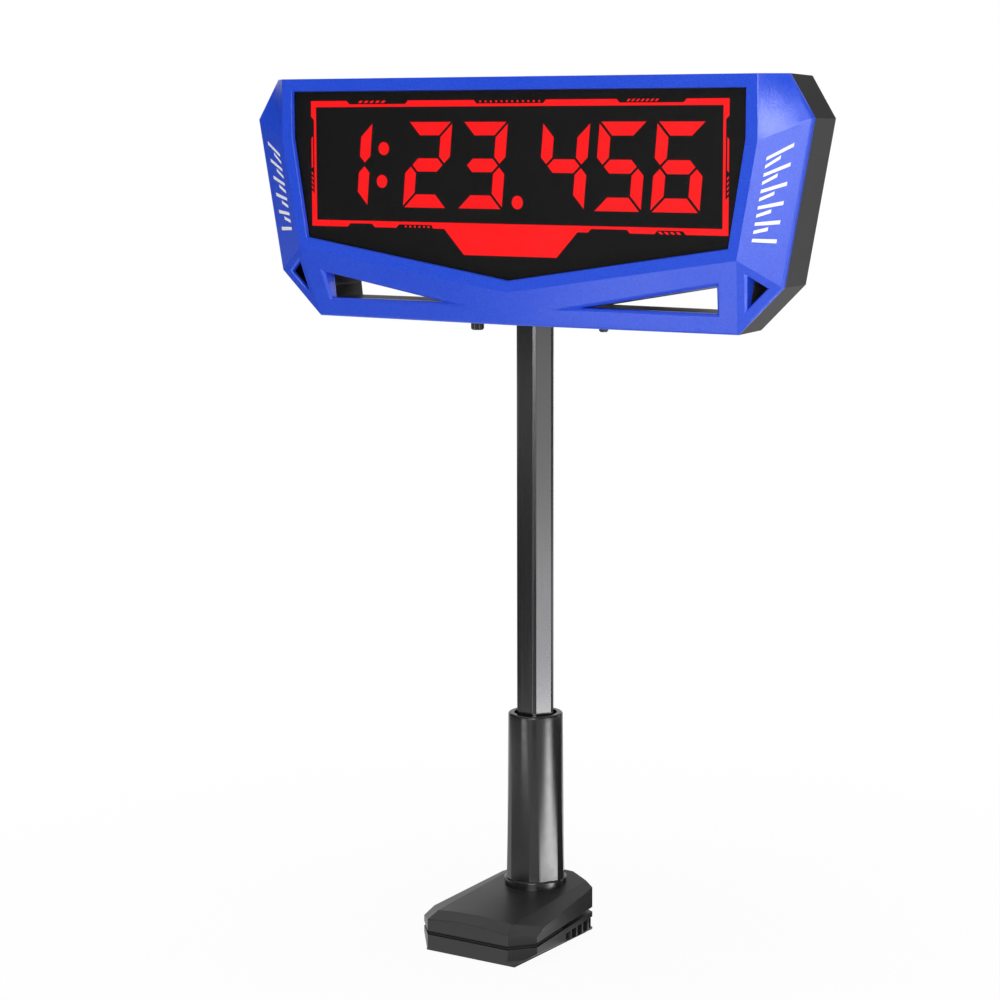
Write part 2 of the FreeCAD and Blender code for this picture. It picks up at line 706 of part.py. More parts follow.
def slider_slot_box(front, back):
    x, height = SLIDER_PLACE
    half = SLIDER_SIZE[0] / 2 + SLIDER_TRAVEL / 2 + FIT_GAP
    rise = SLIDER_SIZE[1] / 2 + FIT_GAP
    return depth_box(x - half, x + half, height - rise, height + rise, front, back)


def underside_hole(place, radius):
    """A hole down through the head's lower wall."""
    low = HEAD_CORNER_Z + HEAD_BOTTOM
    return upright_cylinder(place[0], HEAD_FRONT_Y + place[1], radius, low - 1, low + CONTROL_SEAT)


def rear_housing():
    rim = both_sides(RIM_HALF)
    waist = BACK_DEPTH - BACK_BEVEL
    outer = depth_loft([(rim, SEAM_DEPTH), (inset(rim, BACK_DRAFT), waist)])
    outer = outer.fuse(depth_loft([(inset(rim, BACK_DRAFT), waist),
                                   (inset(rim, BACK_DRAFT + BACK_BEVEL), BACK_DEPTH)]))
    inner = depth_loft([(inset(rim, SHELL_WALL), SEAM_DEPTH), (inset(rim, SHELL_WALL + BACK_DRAFT), WALL_DEPTH)])
    notch_post = SEAM_DEPTH, BACK_DEPTH, BACK_DEPTH
    inside = with_twin(collars(*notch_post))
    inside = inside.fuse(pole_socket_block().common(depth_box(-REACH, REACH, -REACH, 0, SEAM_DEPTH, WALL_DEPTH)))
    for place in shell_screw_places():
        inside = inside.fuse(depth_cylinder(place, POST_RADIUS, SEAM_DEPTH, WALL_DEPTH))
    board_rear = DISPLAY_BOARD_DEPTH + BOARD_THICKNESS
    for place in BOARD_SCREW_PLACES:
        inside = inside.fuse(depth_cylinder(place, POST_RADIUS, board_rear, WALL_DEPTH))
    for place in control_post_places():
        inside = inside.fuse(depth_cylinder(place, BOSS_RADIUS, CONTROL_REAR_DEPTH, WALL_DEPTH))
    for place in door_screw_places():
        inside = inside.fuse(depth_cylinder(place, POST_RADIUS, WALL_DEPTH - 9.0, WALL_DEPTH))
    for place in (KNOB_PLACE, BUTTON_PLACE):
        inside = inside.fuse(control_seat(place))
    shape = outer.cut(inner).fuse(inside.common(outer)).fuse(pole_socket_block())
    return shape.cut(housing_cuts())


def housing_cuts():
    """Everything that is open in the housing: wings, notches, screw holes, door, vents and controls."""
    cuts = []
    cuts.append(with_twin(depth_prism(wing_hole(), SEAM_DEPTH - 1, BACK_DEPTH + 1)))
    cuts.append(with_twin(depth_prism(notch_hole(), SEAM_DEPTH - 1, NOTCH_FLOOR_DEPTH)))
    cuts.append(pole_socket_bore())
    shaft, head = SHELL_SCREW[:2]
    for place in shell_screw_places():
        cuts.append(depth_cylinder(place, shaft, SEAM_DEPTH - 1, BACK_DEPTH))
        cuts.append(depth_cylinder(place, head + FIT_GAP, POST_SEAT_DEPTH, BACK_DEPTH + 1))
    small = SMALL_SCREW[0]
    for place in BOARD_SCREW_PLACES:
        cuts.append(depth_cylinder(place, small, SEAM_DEPTH, DISPLAY_BOARD_DEPTH + 9.0))
    for place in control_post_places():
        cuts.append(depth_cylinder(place, small, CONTROL_REAR_DEPTH, CONTROL_REAR_DEPTH + 7.0))
    for place in door_screw_places():
        cuts.append(depth_cylinder(place, small, WALL_DEPTH - 7.0, BACK_DEPTH))
    cuts.append(depth_prism(battery_box_outline(FIT_GAP), WALL_DEPTH - 1, BACK_DEPTH + 1))
    cuts.append(depth_prism(door_outline(FIT_GAP), BACK_DEPTH - DOOR_THICKNESS, BACK_DEPTH + 1))
    x, height = BUZZER_PLACE
    for index in range(VENT_COUNT):
        middle = x + (index - (VENT_COUNT - 1) / 2) * VENT_PITCH
        cuts.append(depth_box(middle - VENT_WIDTH / 2, middle + VENT_WIDTH / 2, height - VENT_LENGTH / 2,
                              height + VENT_LENGTH / 2, WALL_DEPTH - 1, BACK_DEPTH + 1))
    cuts.append(slider_slot_box(WALL_DEPTH - 1, BACK_DEPTH + 1))
    cuts.append(depth_cylinder(SOCKET_PLACE, SOCKET_RADIUS + FIT_GAP, WALL_DEPTH - 1, BACK_DEPTH + 1))
    cuts.append(underside_hole(KNOB_PLACE, STEM_RADIUS + RUNNING_GAP))
    cuts.append(underside_hole(BUTTON_PLACE, STEM_RADIUS + RUNNING_GAP))
    return cuts


def battery_door():
    plate = depth_prism(door_outline(0), BACK_DEPTH - DOOR_THICKNESS, BACK_DEPTH)
    plug = depth_prism(battery_box_outline(-FIT_GAP), WALL_DEPTH + FIT_GAP, BACK_DEPTH - DOOR_THICKNESS)
    shape = plate.fuse(plug)
    for place in door_screw_places():
        shape = shape.cut(depth_cylinder(place, SMALL_SCREW[0] + FIT_GAP, WALL_DEPTH, BACK_DEPTH))
        seat = BACK_DEPTH - SMALL_SCREW[2] / 2
        shape = shape.cut(depth_cylinder(place, SMALL_SCREW[1] + FIT_GAP, seat, BACK_DEPTH + 1))
    for index in range(3):
        low = BOX_CENTRE_HEIGHT - 3.0 + index * 2.4
        shape = shape.cut(depth_box(-9.0, 9.0, low, low + 1.2, BACK_DEPTH - 0.5, BACK_DEPTH + 1))
    return shape


def battery_box():
    shape = depth_prism(battery_box_outline(0), CELL_DEPTH - CELL_RADIUS - BOX_WALL, WALL_DEPTH)
    inside = battery_box_outline(-BOX_WALL)
    return shape.cut(depth_prism(inside, CELL_DEPTH - CELL_RADIUS, WALL_DEPTH + 1))


def cell_heights():
    """Heights of the rows of cells, one cell in each."""
    pitch = 2 * CELL_RADIUS + CELL_GAP
    return [BOX_CENTRE_HEIGHT + (index - (CELL_COUNT - 1) / 2) * pitch for index in range(CELL_COUNT)]


def battery_cells():
    """AAA cells, side by side, each the other way round from the next."""
    solids = []
    for index, height in enumerate(cell_heights()):
        way = 1 if index % 2 == 0 else -1
        start = head_point(-way * CELL_LENGTH / 2, CELL_DEPTH, height)
        cup = Part.makeCylinder(CELL_RADIUS, CELL_LENGTH - 1.0, start, V(way, 0, 0))
        tip = Part.makeCylinder(1.9, 1.0, start + V(way * (CELL_LENGTH - 1.0), 0, 0), V(way, 0, 0))
        solids.append(cup.fuse(tip))
    return group(solids)


def battery_contacts():
    """A sprung plate at each end of each cell."""
    wall = battery_box_outline(-BOX_WALL)[1][0]
    reach = CELL_RADIUS * 0.8
    solids = []
    for height in cell_heights():
        for side in (-1, 1):
            near, far = sorted((side * wall, side * (wall - CONTACT_THICKNESS)))
            solids.append(depth_box(near, far, height - reach, height + reach, CELL_DEPTH - reach,
                                    CELL_DEPTH + reach))
    return group(solids)


def display_board():
    half, high, low = DISPLAY_BOARD
    front, back = DISPLAY_BOARD_DEPTH, DISPLAY_BOARD_DEPTH + BOARD_THICKNESS
    outline = [(5 - half, low), (half - 5, low), (half, low + 20), (half, high), (-half, high), (-half, low + 20)]
    shape = depth_prism(outline, front, back)
    return shape.cut([depth_cylinder(place, SMALL_SCREW[0] + FIT_GAP, front, back)
                      for place in BOARD_SCREW_PLACES])


def control_board():
    left, right, high, low = CONTROL_BOARD
    shape = depth_box(left, right, low, high, CONTROL_BOARD_DEPTH, CONTROL_REAR_DEPTH)
    return shape.cut([depth_cylinder(place, SMALL_SCREW[0] + FIT_GAP, CONTROL_BOARD_DEPTH, CONTROL_REAR_DEPTH)
                      for place in control_post_places()])


def control_chips():
    """The packages on the control board's rear face."""
    rear = CONTROL_REAR_DEPTH
    x, height = (CONTROL_BOARD[0] + CONTROL_BOARD[1]) / 2, (CONTROL_BOARD[2] + CONTROL_BOARD[3]) / 2
    return group([depth_box(x - 5, x + 5, height - 5, height + 5, rear, rear + 1.6),
                  depth_box(x - 17, x - 11, height - 3, height + 7, rear, rear + 1.4),
                  depth_cylinder((x + 12.5, height), 3.2, rear, rear + 8.0)])


def board_connector():
    """The pin strip between the two boards."""
    x, height = (CONTROL_BOARD[0] + CONTROL_BOARD[1]) / 2, (CONTROL_BOARD[2] + CONTROL_BOARD[3]) / 2
    return depth_box(x - 12, x + 12, height - 16, height - 11, DISPLAY_BOARD_DEPTH + BOARD_THICKNESS,
                     CONTROL_BOARD_DEPTH)


def power_leads():
    """Two wires from the battery box's side to the control board's rear face, each with one bend."""
    start = battery_box_outline(0)[2][0]
    end = CONTROL_BOARD[0] + 3.0
    solids = []
    for offset in (5.0, 8.0):
        height = BOX_CENTRE_HEIGHT + offset
        bend = head_point(end, CELL_DEPTH, height)
        run = Part.makeCylinder(LEAD_RADIUS, end - start, head_point(start, CELL_DEPTH, height), V(1, 0, 0))
        drop = Part.makeCylinder(LEAD_RADIUS, CELL_DEPTH - CONTROL_REAR_DEPTH, bend, V(0, -1, 0))
        solids.append(run.fuse(drop).fuse(Part.makeSphere(LEAD_RADIUS * 1.01, bend)))
    return group(solids)


def buzzer():
    shape = depth_cylinder(BUZZER_PLACE, BUZZER_RADIUS, WALL_DEPTH - BUZZER_HEIGHT, WALL_DEPTH)
    return shape.cut(depth_cylinder(BUZZER_PLACE, BUZZER_RADIUS * 0.2, WALL_DEPTH - 1.5, WALL_DEPTH))


def data_socket():
    x, height = SOCKET_PLACE
    half = SOCKET_RADIUS + 0.9
    body = depth_box(x - half, x + half, height - half, height + half, CONTROL_REAR_DEPTH, WALL_DEPTH)
    nose = depth_cylinder(SOCKET_PLACE, SOCKET_RADIUS, WALL_DEPTH, BACK_DEPTH)
    bore = depth_cylinder(SOCKET_PLACE, SOCKET_BORE, BACK_DEPTH - SOCKET_BORE_LENGTH, BACK_DEPTH)
    return body.fuse(nose).cut(bore)


def switch_body():
    x, height = SLIDER_PLACE
    half = SLIDER_SIZE[0] / 2 + SLIDER_TRAVEL / 2 + 2.0
    rise = SLIDER_SIZE[1] / 2 + 1.4
    body = depth_box(x - half, x + half, height - rise, height + rise, CONTROL_REAR_DEPTH, WALL_DEPTH - FIT_GAP)
    return body.cut(slider_slot_box(WALL_DEPTH - 3.0, WALL_DEPTH))


def power_slider():
    """The switch's sliding cap, at the left end of its slot."""
    x, height = SLIDER_PLACE
    left = x - SLIDER_TRAVEL / 2 - SLIDER_SIZE[0] / 2
    rise = SLIDER_SIZE[1] / 2
    shape = depth_box(left, left + SLIDER_SIZE[0], height - rise, height + rise, WALL_DEPTH - 2.6,
                      BACK_DEPTH + SLIDER_PROUD)
    for index in range(3):
        groove = left + 0.75 + index * 1.25
        shape = shape.cut(depth_box(groove, groove + 0.6, height - rise, height + rise,
                                    BACK_DEPTH + SLIDER_PROUD - 0.4, BACK_DEPTH + SLIDER_PROUD + 1))
    return shape


def ribbed_outline(radius, ribs, centre):
    """A circle with small ribs round it."""
    points = []
    for index in range(2 * ribs):
        turn = math.pi * index / ribs
        reach = radius if index % 2 == 0 else radius - RIB_DEPTH
        points.append((centre[0] + reach * math.cos(turn), centre[1] + reach * math.sin(turn)))
    return points


def underside_cap(place, radius, ribs, drop, stem_top):
    """A ribbed cap under the head, with its stem up through the lower wall."""
    x, y = place[0], HEAD_FRONT_Y + place[1]
    low = HEAD_CORNER_Z + HEAD_BOTTOM
    cap = plan_prism(ribbed_outline(radius, ribs, (x, y)), low - drop + 0.5, low - UNDER_GAP)
    tip = Part.makeCone(radius - 0.6, radius - RIB_DEPTH, 0.5, V(x, y, low - drop))
    return cap.fuse(tip).fuse(upright_cylinder(x, y, STEM_RADIUS, low - UNDER_GAP, low + stem_top))


def stem_top():
    """How far the stems reach above the head's lower face: halfway into the bodies that they work."""
    return CONTROL_SEAT + CONTROL_BODY_HEIGHT / 2


def brightness_knob():
    return underside_cap(KNOB_PLACE, KNOB_RADIUS, KNOB_RIBS, KNOB_DROP, stem_top())


def mode_button():
    shape = underside_cap(BUTTON_PLACE, BUTTON_RADIUS, BUTTON_RIBS, BUTTON_DROP, stem_top() - BUTTON_TRAVEL)
    lift = BUTTON_TRAVEL + UNDER_GAP
    x, y = BUTTON_PLACE[0], HEAD_FRONT_Y + BUTTON_PLACE[1]
    low = HEAD_CORNER_Z + HEAD_BOTTOM
    clear = upright_cylinder(x, y, BUTTON_RADIUS + 1, low - lift, low).cut(
        upright_cylinder(x, y, STEM_RADIUS, low - lift, low))
    return shape.cut(clear)


def control_body(place):
    """The small sealed body inside the head that a stem from below reaches into."""
    x, y = place[0], HEAD_FRONT_Y + place[1]
    low = HEAD_CORNER_Z + HEAD_BOTTOM + CONTROL_SEAT
    half = CONTROL_BODY / 2
    body = Part.makeBox(CONTROL_BODY, CONTROL_BODY, CONTROL_BODY_HEIGHT, V(x - half, y - half, low))
    return body.cut(upright_cylinder(x, y, STEM_RADIUS + RUNNING_GAP, low, low + CONTROL_BODY_HEIGHT - 0.8))


def control_seat(place):
    """The level block in the housing that a control's body stands on."""
    x, y = place[0], HEAD_FRONT_Y + place[1]
    half = CONTROL_BODY / 2
    low = HEAD_CORNER_Z + HEAD_BOTTOM + SHELL_WALL / 2
    return Part.makeBox(CONTROL_BODY, CONTROL_BODY, CONTROL_SEAT - SHELL_WALL / 2, V(x - half, y - half, low))


# ---- fasteners
def screw(kind, length, at, way):
    """A screw whose head's underside is at a point, and whose shaft runs along a direction from there."""
    shaft, head, rise = kind
    direction = V(*way)
    shape = Part.makeCylinder(shaft, length, at, direction)
    shape = shape.fuse(Part.makeCylinder(head, rise, at - direction * rise, direction))
    crown = at - direction * rise
    for turn in (0, 90):
        blade = Part.makeBox(head * 1.2, head * 0.3, rise * 0.6, V(-head * 0.6, -head * 0.15, 0))
        blade.rotate(V(0, 0, 0), V(0, 0, 1), turn)
        blade.Placement = FreeCAD.Placement(crown, FreeCAD.Rotation(V(0, 0, 1), direction)).multiply(
            blade.Placement)
        shape = shape.cut(blade)
    return shape


def housing_screws():
    return group([screw(SHELL_SCREW, SHELL_SCREW_LENGTH, head_point(x, POST_SEAT_DEPTH, height), (0, -1, 0))
                  for x, height in shell_screw_places()])


def board_screws():
    return group([screw(SMALL_SCREW, 7.0, head_point(x, DISPLAY_BOARD_DEPTH, height), (0, 1, 0))
                  for x, height in BOARD_SCREW_PLACES])


def control_screws():
    return group([screw(SMALL_SCREW, 6.5, head_point(x, CONTROL_BOARD_DEPTH, height), (0, 1, 0))
                  for x, height in control_post_places()])


def door_screws():
    seat = BACK_DEPTH - SMALL_SCREW[2] / 2
    return group([screw(SMALL_SCREW, 7.0, head_point(x, seat, height), (0, -1, 0))
                  for x, height in door_screw_places()])


# ---- pole
def pole_top_z():
    return HEAD_CORNER_Z + POLE_TOP_HEIGHT


def pole_tube():
    low, high = POLE_SEAT_Z + PLUG_FLANGE, pole_top_z() - PLUG_FLANGE
    outer = plan_prism(chamfered_hexagon(POLE_FLATS, POLE_BEVEL), low, high)
    bore = chamfered_hexagon(POLE_FLATS - 2 * POLE_WALL, POLE_BEVEL)
    return outer.cut(plan_prism(bore, low - 1, high + 1))


def pole_plug(end, way):
    """A plug that closes one end of the pole: a flange, and a spigot inside the tube."""
    bore = chamfered_hexagon(POLE_FLATS - 2 * POLE_WALL, POLE_BEVEL)
    flange = plan_prism(chamfered_hexagon(POLE_FLATS, POLE_BEVEL), *sorted((end, end + way * PLUG_FLANGE)))
    spigot = plan_prism(bore, *sorted((end + way * PLUG_FLANGE, end + way * PLUG_LENGTH)))
    return flange.fuse(spigot)


# ---- base forms
def lower_top_z(y):
    return LOWER_TOP_FRONT_Z + LOWER_TOP_SLOPE * (y - BASE_FRONT_Y)


def upper_foot_z(y):
    return UPPER_FOOT_FRONT_Z + UPPER_FOOT_SLOPE * (y - BASE_FRONT_Y)


def roof_z(y):
    return ROOF_FRONT_Z + ROOF_SLOPE * (y - ROOF_FRONT_Y)


def roof_middle_z(x, y):
    """Height of the middle of the roof's wall above a place, under its crown or its side bevel."""
    point, slopes = SIDE_BEVEL_POINT, SIDE_BEVEL_SLOPES
    crown = roof_z(y) - x ** 2 / (2 * ROOF_RADIUS)
    bevel = point[2] + slopes[0] * (abs(x) - point[0]) + slopes[1] * (y - point[1])
    return min(crown, bevel) - JAW_ROOF * 0.6


def above_slope(front_z, slope, lift):
    """The half space above a floor that rises to the rear."""
    return half_space(V(0, BASE_FRONT_Y, front_z + lift), V(0, -slope, 1))


def crowned_roof(front_y, front_z, slope, drop):
    """A broad cylinder under whose top the shell lies: its crown runs front to rear and rises."""
    up = V(0, -slope, 1).normalize()
    along = V(0, 1, slope).normalize()
    crown = V(0, front_y, front_z) - up * (ROOF_RADIUS + drop)
    return Part.makeCylinder(ROOF_RADIUS, REACH, crown - along * (REACH / 2), along)


def bevel_space(point, slopes, drop):
    """The half space above a sloping bevel on the right-hand side."""
    normal = V(-slopes[0], -slopes[1], 1)
    return half_space(V(*point) - normal.normalize() * drop, normal)


def upper_form(shrink, drop):
    """The upper jaw's outside, or a smaller copy of it for the hollow."""
    plan = inset(plan_both_sides(BASE_HALF), shrink)
    shape = plan_prism(plan, 0, REACH / 4)
    shape = shape.common(crowned_roof(ROOF_FRONT_Y, ROOF_FRONT_Z, ROOF_SLOPE, drop))
    shape = shape.common(crowned_roof(BASE_FRONT_Y, NOSE_Z, NOSE_SLOPE, drop))
    for point, slopes in ((SIDE_BEVEL_POINT, SIDE_BEVEL_SLOPES), (CORNER_BEVEL_POINT, CORNER_BEVEL_SLOPES)):
        bevel = bevel_space(point, slopes, drop)
        shape = shape.cut(bevel).cut(mirrored(bevel))
    return shape.common(above_slope(UPPER_FOOT_FRONT_Z, UPPER_FOOT_SLOPE, 0))


def lower_form(shrink, floor, roof_drop):
    """The lower jaw's outside, or a smaller copy of it for the hollow."""
    plan = inset(plan_both_sides(BASE_HALF), shrink)
    shape = plan_prism(plan, floor, REACH / 4)
    shape = shape.cut(above_slope(LOWER_TOP_FRONT_Z, LOWER_TOP_SLOPE, -roof_drop))
    keel = half_space(V(KEEL_HALF - shrink * 1.2, 0, FOOT_PAD), V(KEEL_SLOPE, 0, -1))
    return shape.cut(keel).cut(mirrored(keel))


def lower_hollow(gap):
    """The space inside the lower jaw, narrower at the rear where the side slots are."""
    shape = lower_form(JAW_WALL + gap, FOOT_PAD - 1, LOWER_ROOF + gap)
    for side in (-1, 1):
        near, far = sorted((side * (REAR_CAVITY_HALF - gap), side * REACH / 4))
        block = Part.makeBox(far - near, REACH / 4, REACH / 4, V(near, SLOT_FIRST_Y - JAW_WALL - gap, 0))
        shape = shape.cut(block)
    return shape


def cover_screw_places():
    return mirrored_places(COVER_SCREW_PLACES)


def plate_screw_places():
    return mirrored_places(PLATE_SCREW_PLACES)


def hinge_bar(radius, start, end):
    """A round bar on the hinge's axis."""
    return Part.makeCylinder(radius, end - start, V(start, HINGE_Y, HINGE_Z), V(1, 0, 0))


def ear_outer():
    return EAR_INNER + EAR_THICKNESS


def hinge_ear(side):
    """One of the lower jaw's two ears, which hold the pin."""
    start, end = sorted((side * EAR_INNER, side * ear_outer()))
    foot = lower_top_z(HINGE_Y) - LOWER_ROOF / 2
    web = Part.makeBox(end - start, 2 * EAR_RADIUS, HINGE_Z - foot, V(start, HINGE_Y - EAR_RADIUS, foot))
    return web.fuse(hinge_bar(EAR_RADIUS, start, end))


def lower_jaw_shell():
    shape = lower_form(0, FOOT_PAD, 0).cut(lower_hollow(0))
    for x, y in cover_screw_places():
        boss = upright_cylinder(x, y, BOSS_RADIUS, FOOT_PAD + COVER_THICKNESS, lower_top_z(y) - LOWER_ROOF / 2)
        shape = shape.fuse(boss)
    for side in (-1, 1):
        shape = shape.fuse(hinge_ear(side))
    cuts = [hinge_bar(PIN_RADIUS + PIN_PRESS_GAP, -REACH / 4, REACH / 4)]
    for x, y in cover_screw_places():
        cuts.append(upright_cylinder(x, y, SMALL_SCREW[0], FOOT_PAD, lower_top_z(y) - LOWER_ROOF / 2))
    return shape.cut(cuts).cut(side_slots())


def side_slots():
    """Open slots in both rear flanks, with a rib left between each two."""
    cuts = []
    shoulder, rear = BASE_HALF[1], BASE_HALF[2]
    for index in range(SLOT_COUNT):
        low = SLOT_FIRST_Y + index * SLOT_PITCH
        flank = shoulder[0] + (rear[0] - shoulder[0]) * (low + SLOT_WIDTH - shoulder[1]) / (rear[1] - shoulder[1])
        top = lower_top_z(low) - SLOT_ROOF
        slot = Part.makeBox(REACH / 8, SLOT_WIDTH, top - SLOT_FOOT_Z, V(flank - SLOT_DEPTH, low, SLOT_FOOT_Z))
        cuts += [slot, mirrored(slot)]
    return cuts


def lower_cover():
    """Flat cover that closes the lower jaw from below."""
    slab = Part.makeBox(REACH, REACH, COVER_THICKNESS, V(-REACH / 2, -REACH / 2, FOOT_PAD))
    shape = lower_hollow(FIT_GAP).common(slab)
    for x, y in cover_screw_places():
        shape = shape.cut(upright_cylinder(x, y, SMALL_SCREW[0] + FIT_GAP, FOOT_PAD, FOOT_PAD + COVER_THICKNESS))
        shape = shape.cut(upright_cylinder(x, y, SMALL_SCREW[1] + FIT_GAP, FOOT_PAD, FOOT_PAD + SMALL_SCREW[2]))
    return shape


def cover_screws():
    return group([screw(SMALL_SCREW, 4.6, V(x, y, FOOT_PAD + SMALL_SCREW[2]), (0, 0, 1))
                  for x, y in cover_screw_places()])


def ballast_plate():
    """Steel weight that fills the lower jaw above its cover."""
    low = FOOT_PAD + COVER_THICKNESS
    shape = lower_hollow(BALLAST_GAP).common(Part.makeBox(REACH, REACH, REACH, V(-REACH / 2, -REACH / 2, low)))
    for x, y in cover_screw_places():
        shape = shape.cut(upright_cylinder(x, y, BOSS_RADIUS + FIT_GAP * 2, low, low + REACH / 8))
    return shape


def foot_pad():
    return plan_prism(plan_both_sides(FOOT_PAD_HALF), 0, FOOT_PAD)


def jaw_pad_plan():
    """The rubber pads' plan: the jaws' outline a little smaller, up to a straight rear edge."""
    plan = plan_prism(inset(plan_both_sides(BASE_HALF), JAW_PAD_INSET), 0, REACH / 4)
    return plan.common(Part.makeBox(REACH, REACH / 2, REACH, V(-REACH / 2, JAW_PAD_REAR_Y - REACH / 2, 0)))


def lower_jaw_pad():
    shape = jaw_pad_plan().common(above_slope(LOWER_TOP_FRONT_Z, LOWER_TOP_SLOPE, 0))
    return shape.cut(above_slope(LOWER_TOP_FRONT_Z, LOWER_TOP_SLOPE, JAW_PAD))


def upper_jaw_pad():
    shape = jaw_pad_plan().cut(above_slope(UPPER_FOOT_FRONT_Z, UPPER_FOOT_SLOPE, 0))
    return shape.common(above_slope(UPPER_FOOT_FRONT_Z, UPPER_FOOT_SLOPE, -JAW_PAD))


def hinge_lug(side):
    """One of the upper jaw's two lugs, which snap over the pin from above, outside the ears."""
    start, end = sorted((side * (ear_outer() + EAR_GAP), side * (ear_outer() + EAR_GAP + LUG_THICKNESS)))
    rise = roof_middle_z(max(abs(start), abs(end)), HINGE_Y - EAR_RADIUS) - HINGE_Z
    web = Part.makeBox(end - start, 2 * EAR_RADIUS, rise, V(start, HINGE_Y - EAR_RADIUS, HINGE_Z))
    lug = web.fuse(hinge_bar(EAR_RADIUS, start, end))
    mouth = Part.makeBox(end - start, SNAP_MOUTH, EAR_RADIUS, V(start, HINGE_Y - SNAP_MOUTH / 2,
                                                               HINGE_Z - EAR_RADIUS))
    return lug.cut(mouth)


def upper_jaw_shell():
    shape = upper_form(0, 0).cut(upper_form(JAW_WALL, JAW_ROOF))
    for x, y in plate_screw_places():
        boss = upright_square(x, y, BOSS_RADIUS, UPPER_FOOT_FRONT_Z, roof_middle_z(x, y))
        shape = shape.fuse(boss.common(above_slope(UPPER_FOOT_FRONT_Z, UPPER_FOOT_SLOPE, PLATE_THICKNESS)))
    for x, y in column_screw_places():
        shape = shape.fuse(upright_square(x, y, BOSS_RADIUS, column_screw_seat(y), roof_middle_z(x, y)))
    for side in (-1, 1):
        shape = shape.fuse(hinge_lug(side))
    cuts = [hinge_bar(PIN_RADIUS + RUNNING_GAP, -pin_end() - EAR_GAP, pin_end() + EAR_GAP)]
    for x, y in plate_screw_places():
        top = upper_foot_z(y) + PLATE_THICKNESS + 4.0
        cuts.append(upright_cylinder(x, y, SMALL_SCREW[0], UPPER_FOOT_FRONT_Z, top))
    cuts.append(upright_cylinder(0, 0, spigot_radius() + FIT_GAP, roof_z(0) - 4, REACH / 8))
    for x, y in column_screw_places():
        cuts.append(upright_cylinder(x, y, SMALL_SCREW[0] + FIT_GAP, HINGE_Z, REACH / 8))
    return shape.cut(cuts)


def upper_jaw_plate():
    """Flat plate that closes the upper jaw from below, open where the hinge passes through."""
    plan = plan_prism(inset(plan_both_sides(BASE_HALF), JAW_WALL + FIT_GAP), 0, REACH / 4)
    shape = plan.common(above_slope(UPPER_FOOT_FRONT_Z, UPPER_FOOT_SLOPE, 0))
    shape = shape.cut(above_slope(UPPER_FOOT_FRONT_Z, UPPER_FOOT_SLOPE, PLATE_THICKNESS))
    half = pin_end() + EAR_GAP * 2
    reach = EAR_RADIUS + EAR_GAP * 3
    shape = shape.cut(Part.makeBox(2 * half, 2 * reach, REACH / 8, V(-half, HINGE_Y - reach, 0)))
    half = SPRING_TURNS * SPRING_PITCH / 2 + SPRING_WIRE + EAR_GAP * 2
    shape = shape.cut(Part.makeBox(2 * half, SPRING_LEG_REACH + 1.0, REACH / 8, V(-half, HINGE_Y, 0)))
    for x, y in plate_screw_places():
        shape = shape.cut(upright_cylinder(x, y, SMALL_SCREW[0] + FIT_GAP, 0, REACH / 8))
        shape = shape.cut(upright_cylinder(x, y, SMALL_SCREW[1] + FIT_GAP, 0, plate_screw_seat(y)))
    return shape


def upper_ballast():
    """Steel weight that stands on the upper jaw's plate, in front of the column."""
    half, front_y, rear_y = UPPER_BALLAST
    crown = half ** 2 / (2 * ROOF_RADIUS)
    top = ROOF_FRONT_Z - JAW_ROOF - crown - BALLAST_GAP
    shape = plan_prism([(-half, front_y), (half, front_y), (half, rear_y), (-half, rear_y)], 0, REACH / 4)
    shape = shape.common(above_slope(UPPER_FOOT_FRONT_Z, UPPER_FOOT_SLOPE, PLATE_THICKNESS))
    shape = shape.cut(half_space(V(0, ROOF_FRONT_Y, top), V(0, -ROOF_SLOPE, 1)))
    for x, y in plate_screw_places():
        shape = shape.cut(upright_square(x, y, BOSS_RADIUS + FIT_GAP * 2, 0, REACH / 8))
    return shape


def plate_screw_seat(y):
    """Floor of a plate screw's recess: the head lies just inside the sloping plate."""
    return upper_foot_z(y) + SMALL_SCREW[2] + 0.1


def plate_screws():
    return group([screw(SMALL_SCREW, 4.0, V(x, y, plate_screw_seat(y)), (0, 0, 1))
                  for x, y in plate_screw_places()])


def pin_end():
    return ear_outer() + EAR_GAP + LUG_THICKNESS + EAR_GAP + CLIP_THICKNESS + PIN_OVERHANG


def hinge_pin():
    shape = hinge_bar(PIN_RADIUS, -pin_end(), pin_end())
    for side in (-1, 1):
        start, end = clip_span(side)
        ring = hinge_bar(PIN_RADIUS + 1, start, end).cut(hinge_bar(PIN_RADIUS * 0.7, start, end))
        shape = shape.cut(ring)
    return shape


def clip_span(side):
    near = ear_outer() + EAR_GAP + LUG_THICKNESS + EAR_GAP
    return sorted((side * near, side * (near + CLIP_THICKNESS)))


def pin_clips():
    """A snap ring in a groove at each end of the pin, open at the front."""
    solids = []
    for side in (-1, 1):
        start, end = clip_span(side)
        ring = hinge_bar(CLIP_RADIUS, start, end).cut(hinge_bar(PIN_RADIUS * 0.7, start, end))
        mouth = Part.makeBox(end - start, CLIP_RADIUS, PIN_RADIUS, V(start, HINGE_Y - CLIP_RADIUS,
                                                                      HINGE_Z - PIN_RADIUS / 2))
        solids.append(ring.cut(mouth))
    return group(solids)


def spring_leg(start, end):
    """A straight end of the spring's wire, rounded at both ends."""
    radius = SPRING_WIRE / 2
    leg = Part.makeCylinder(radius, (end - start).Length, start, end - start)
    return leg.fuse(Part.makeSphere(radius * 1.04, start)).fuse(Part.makeSphere(radius, end))


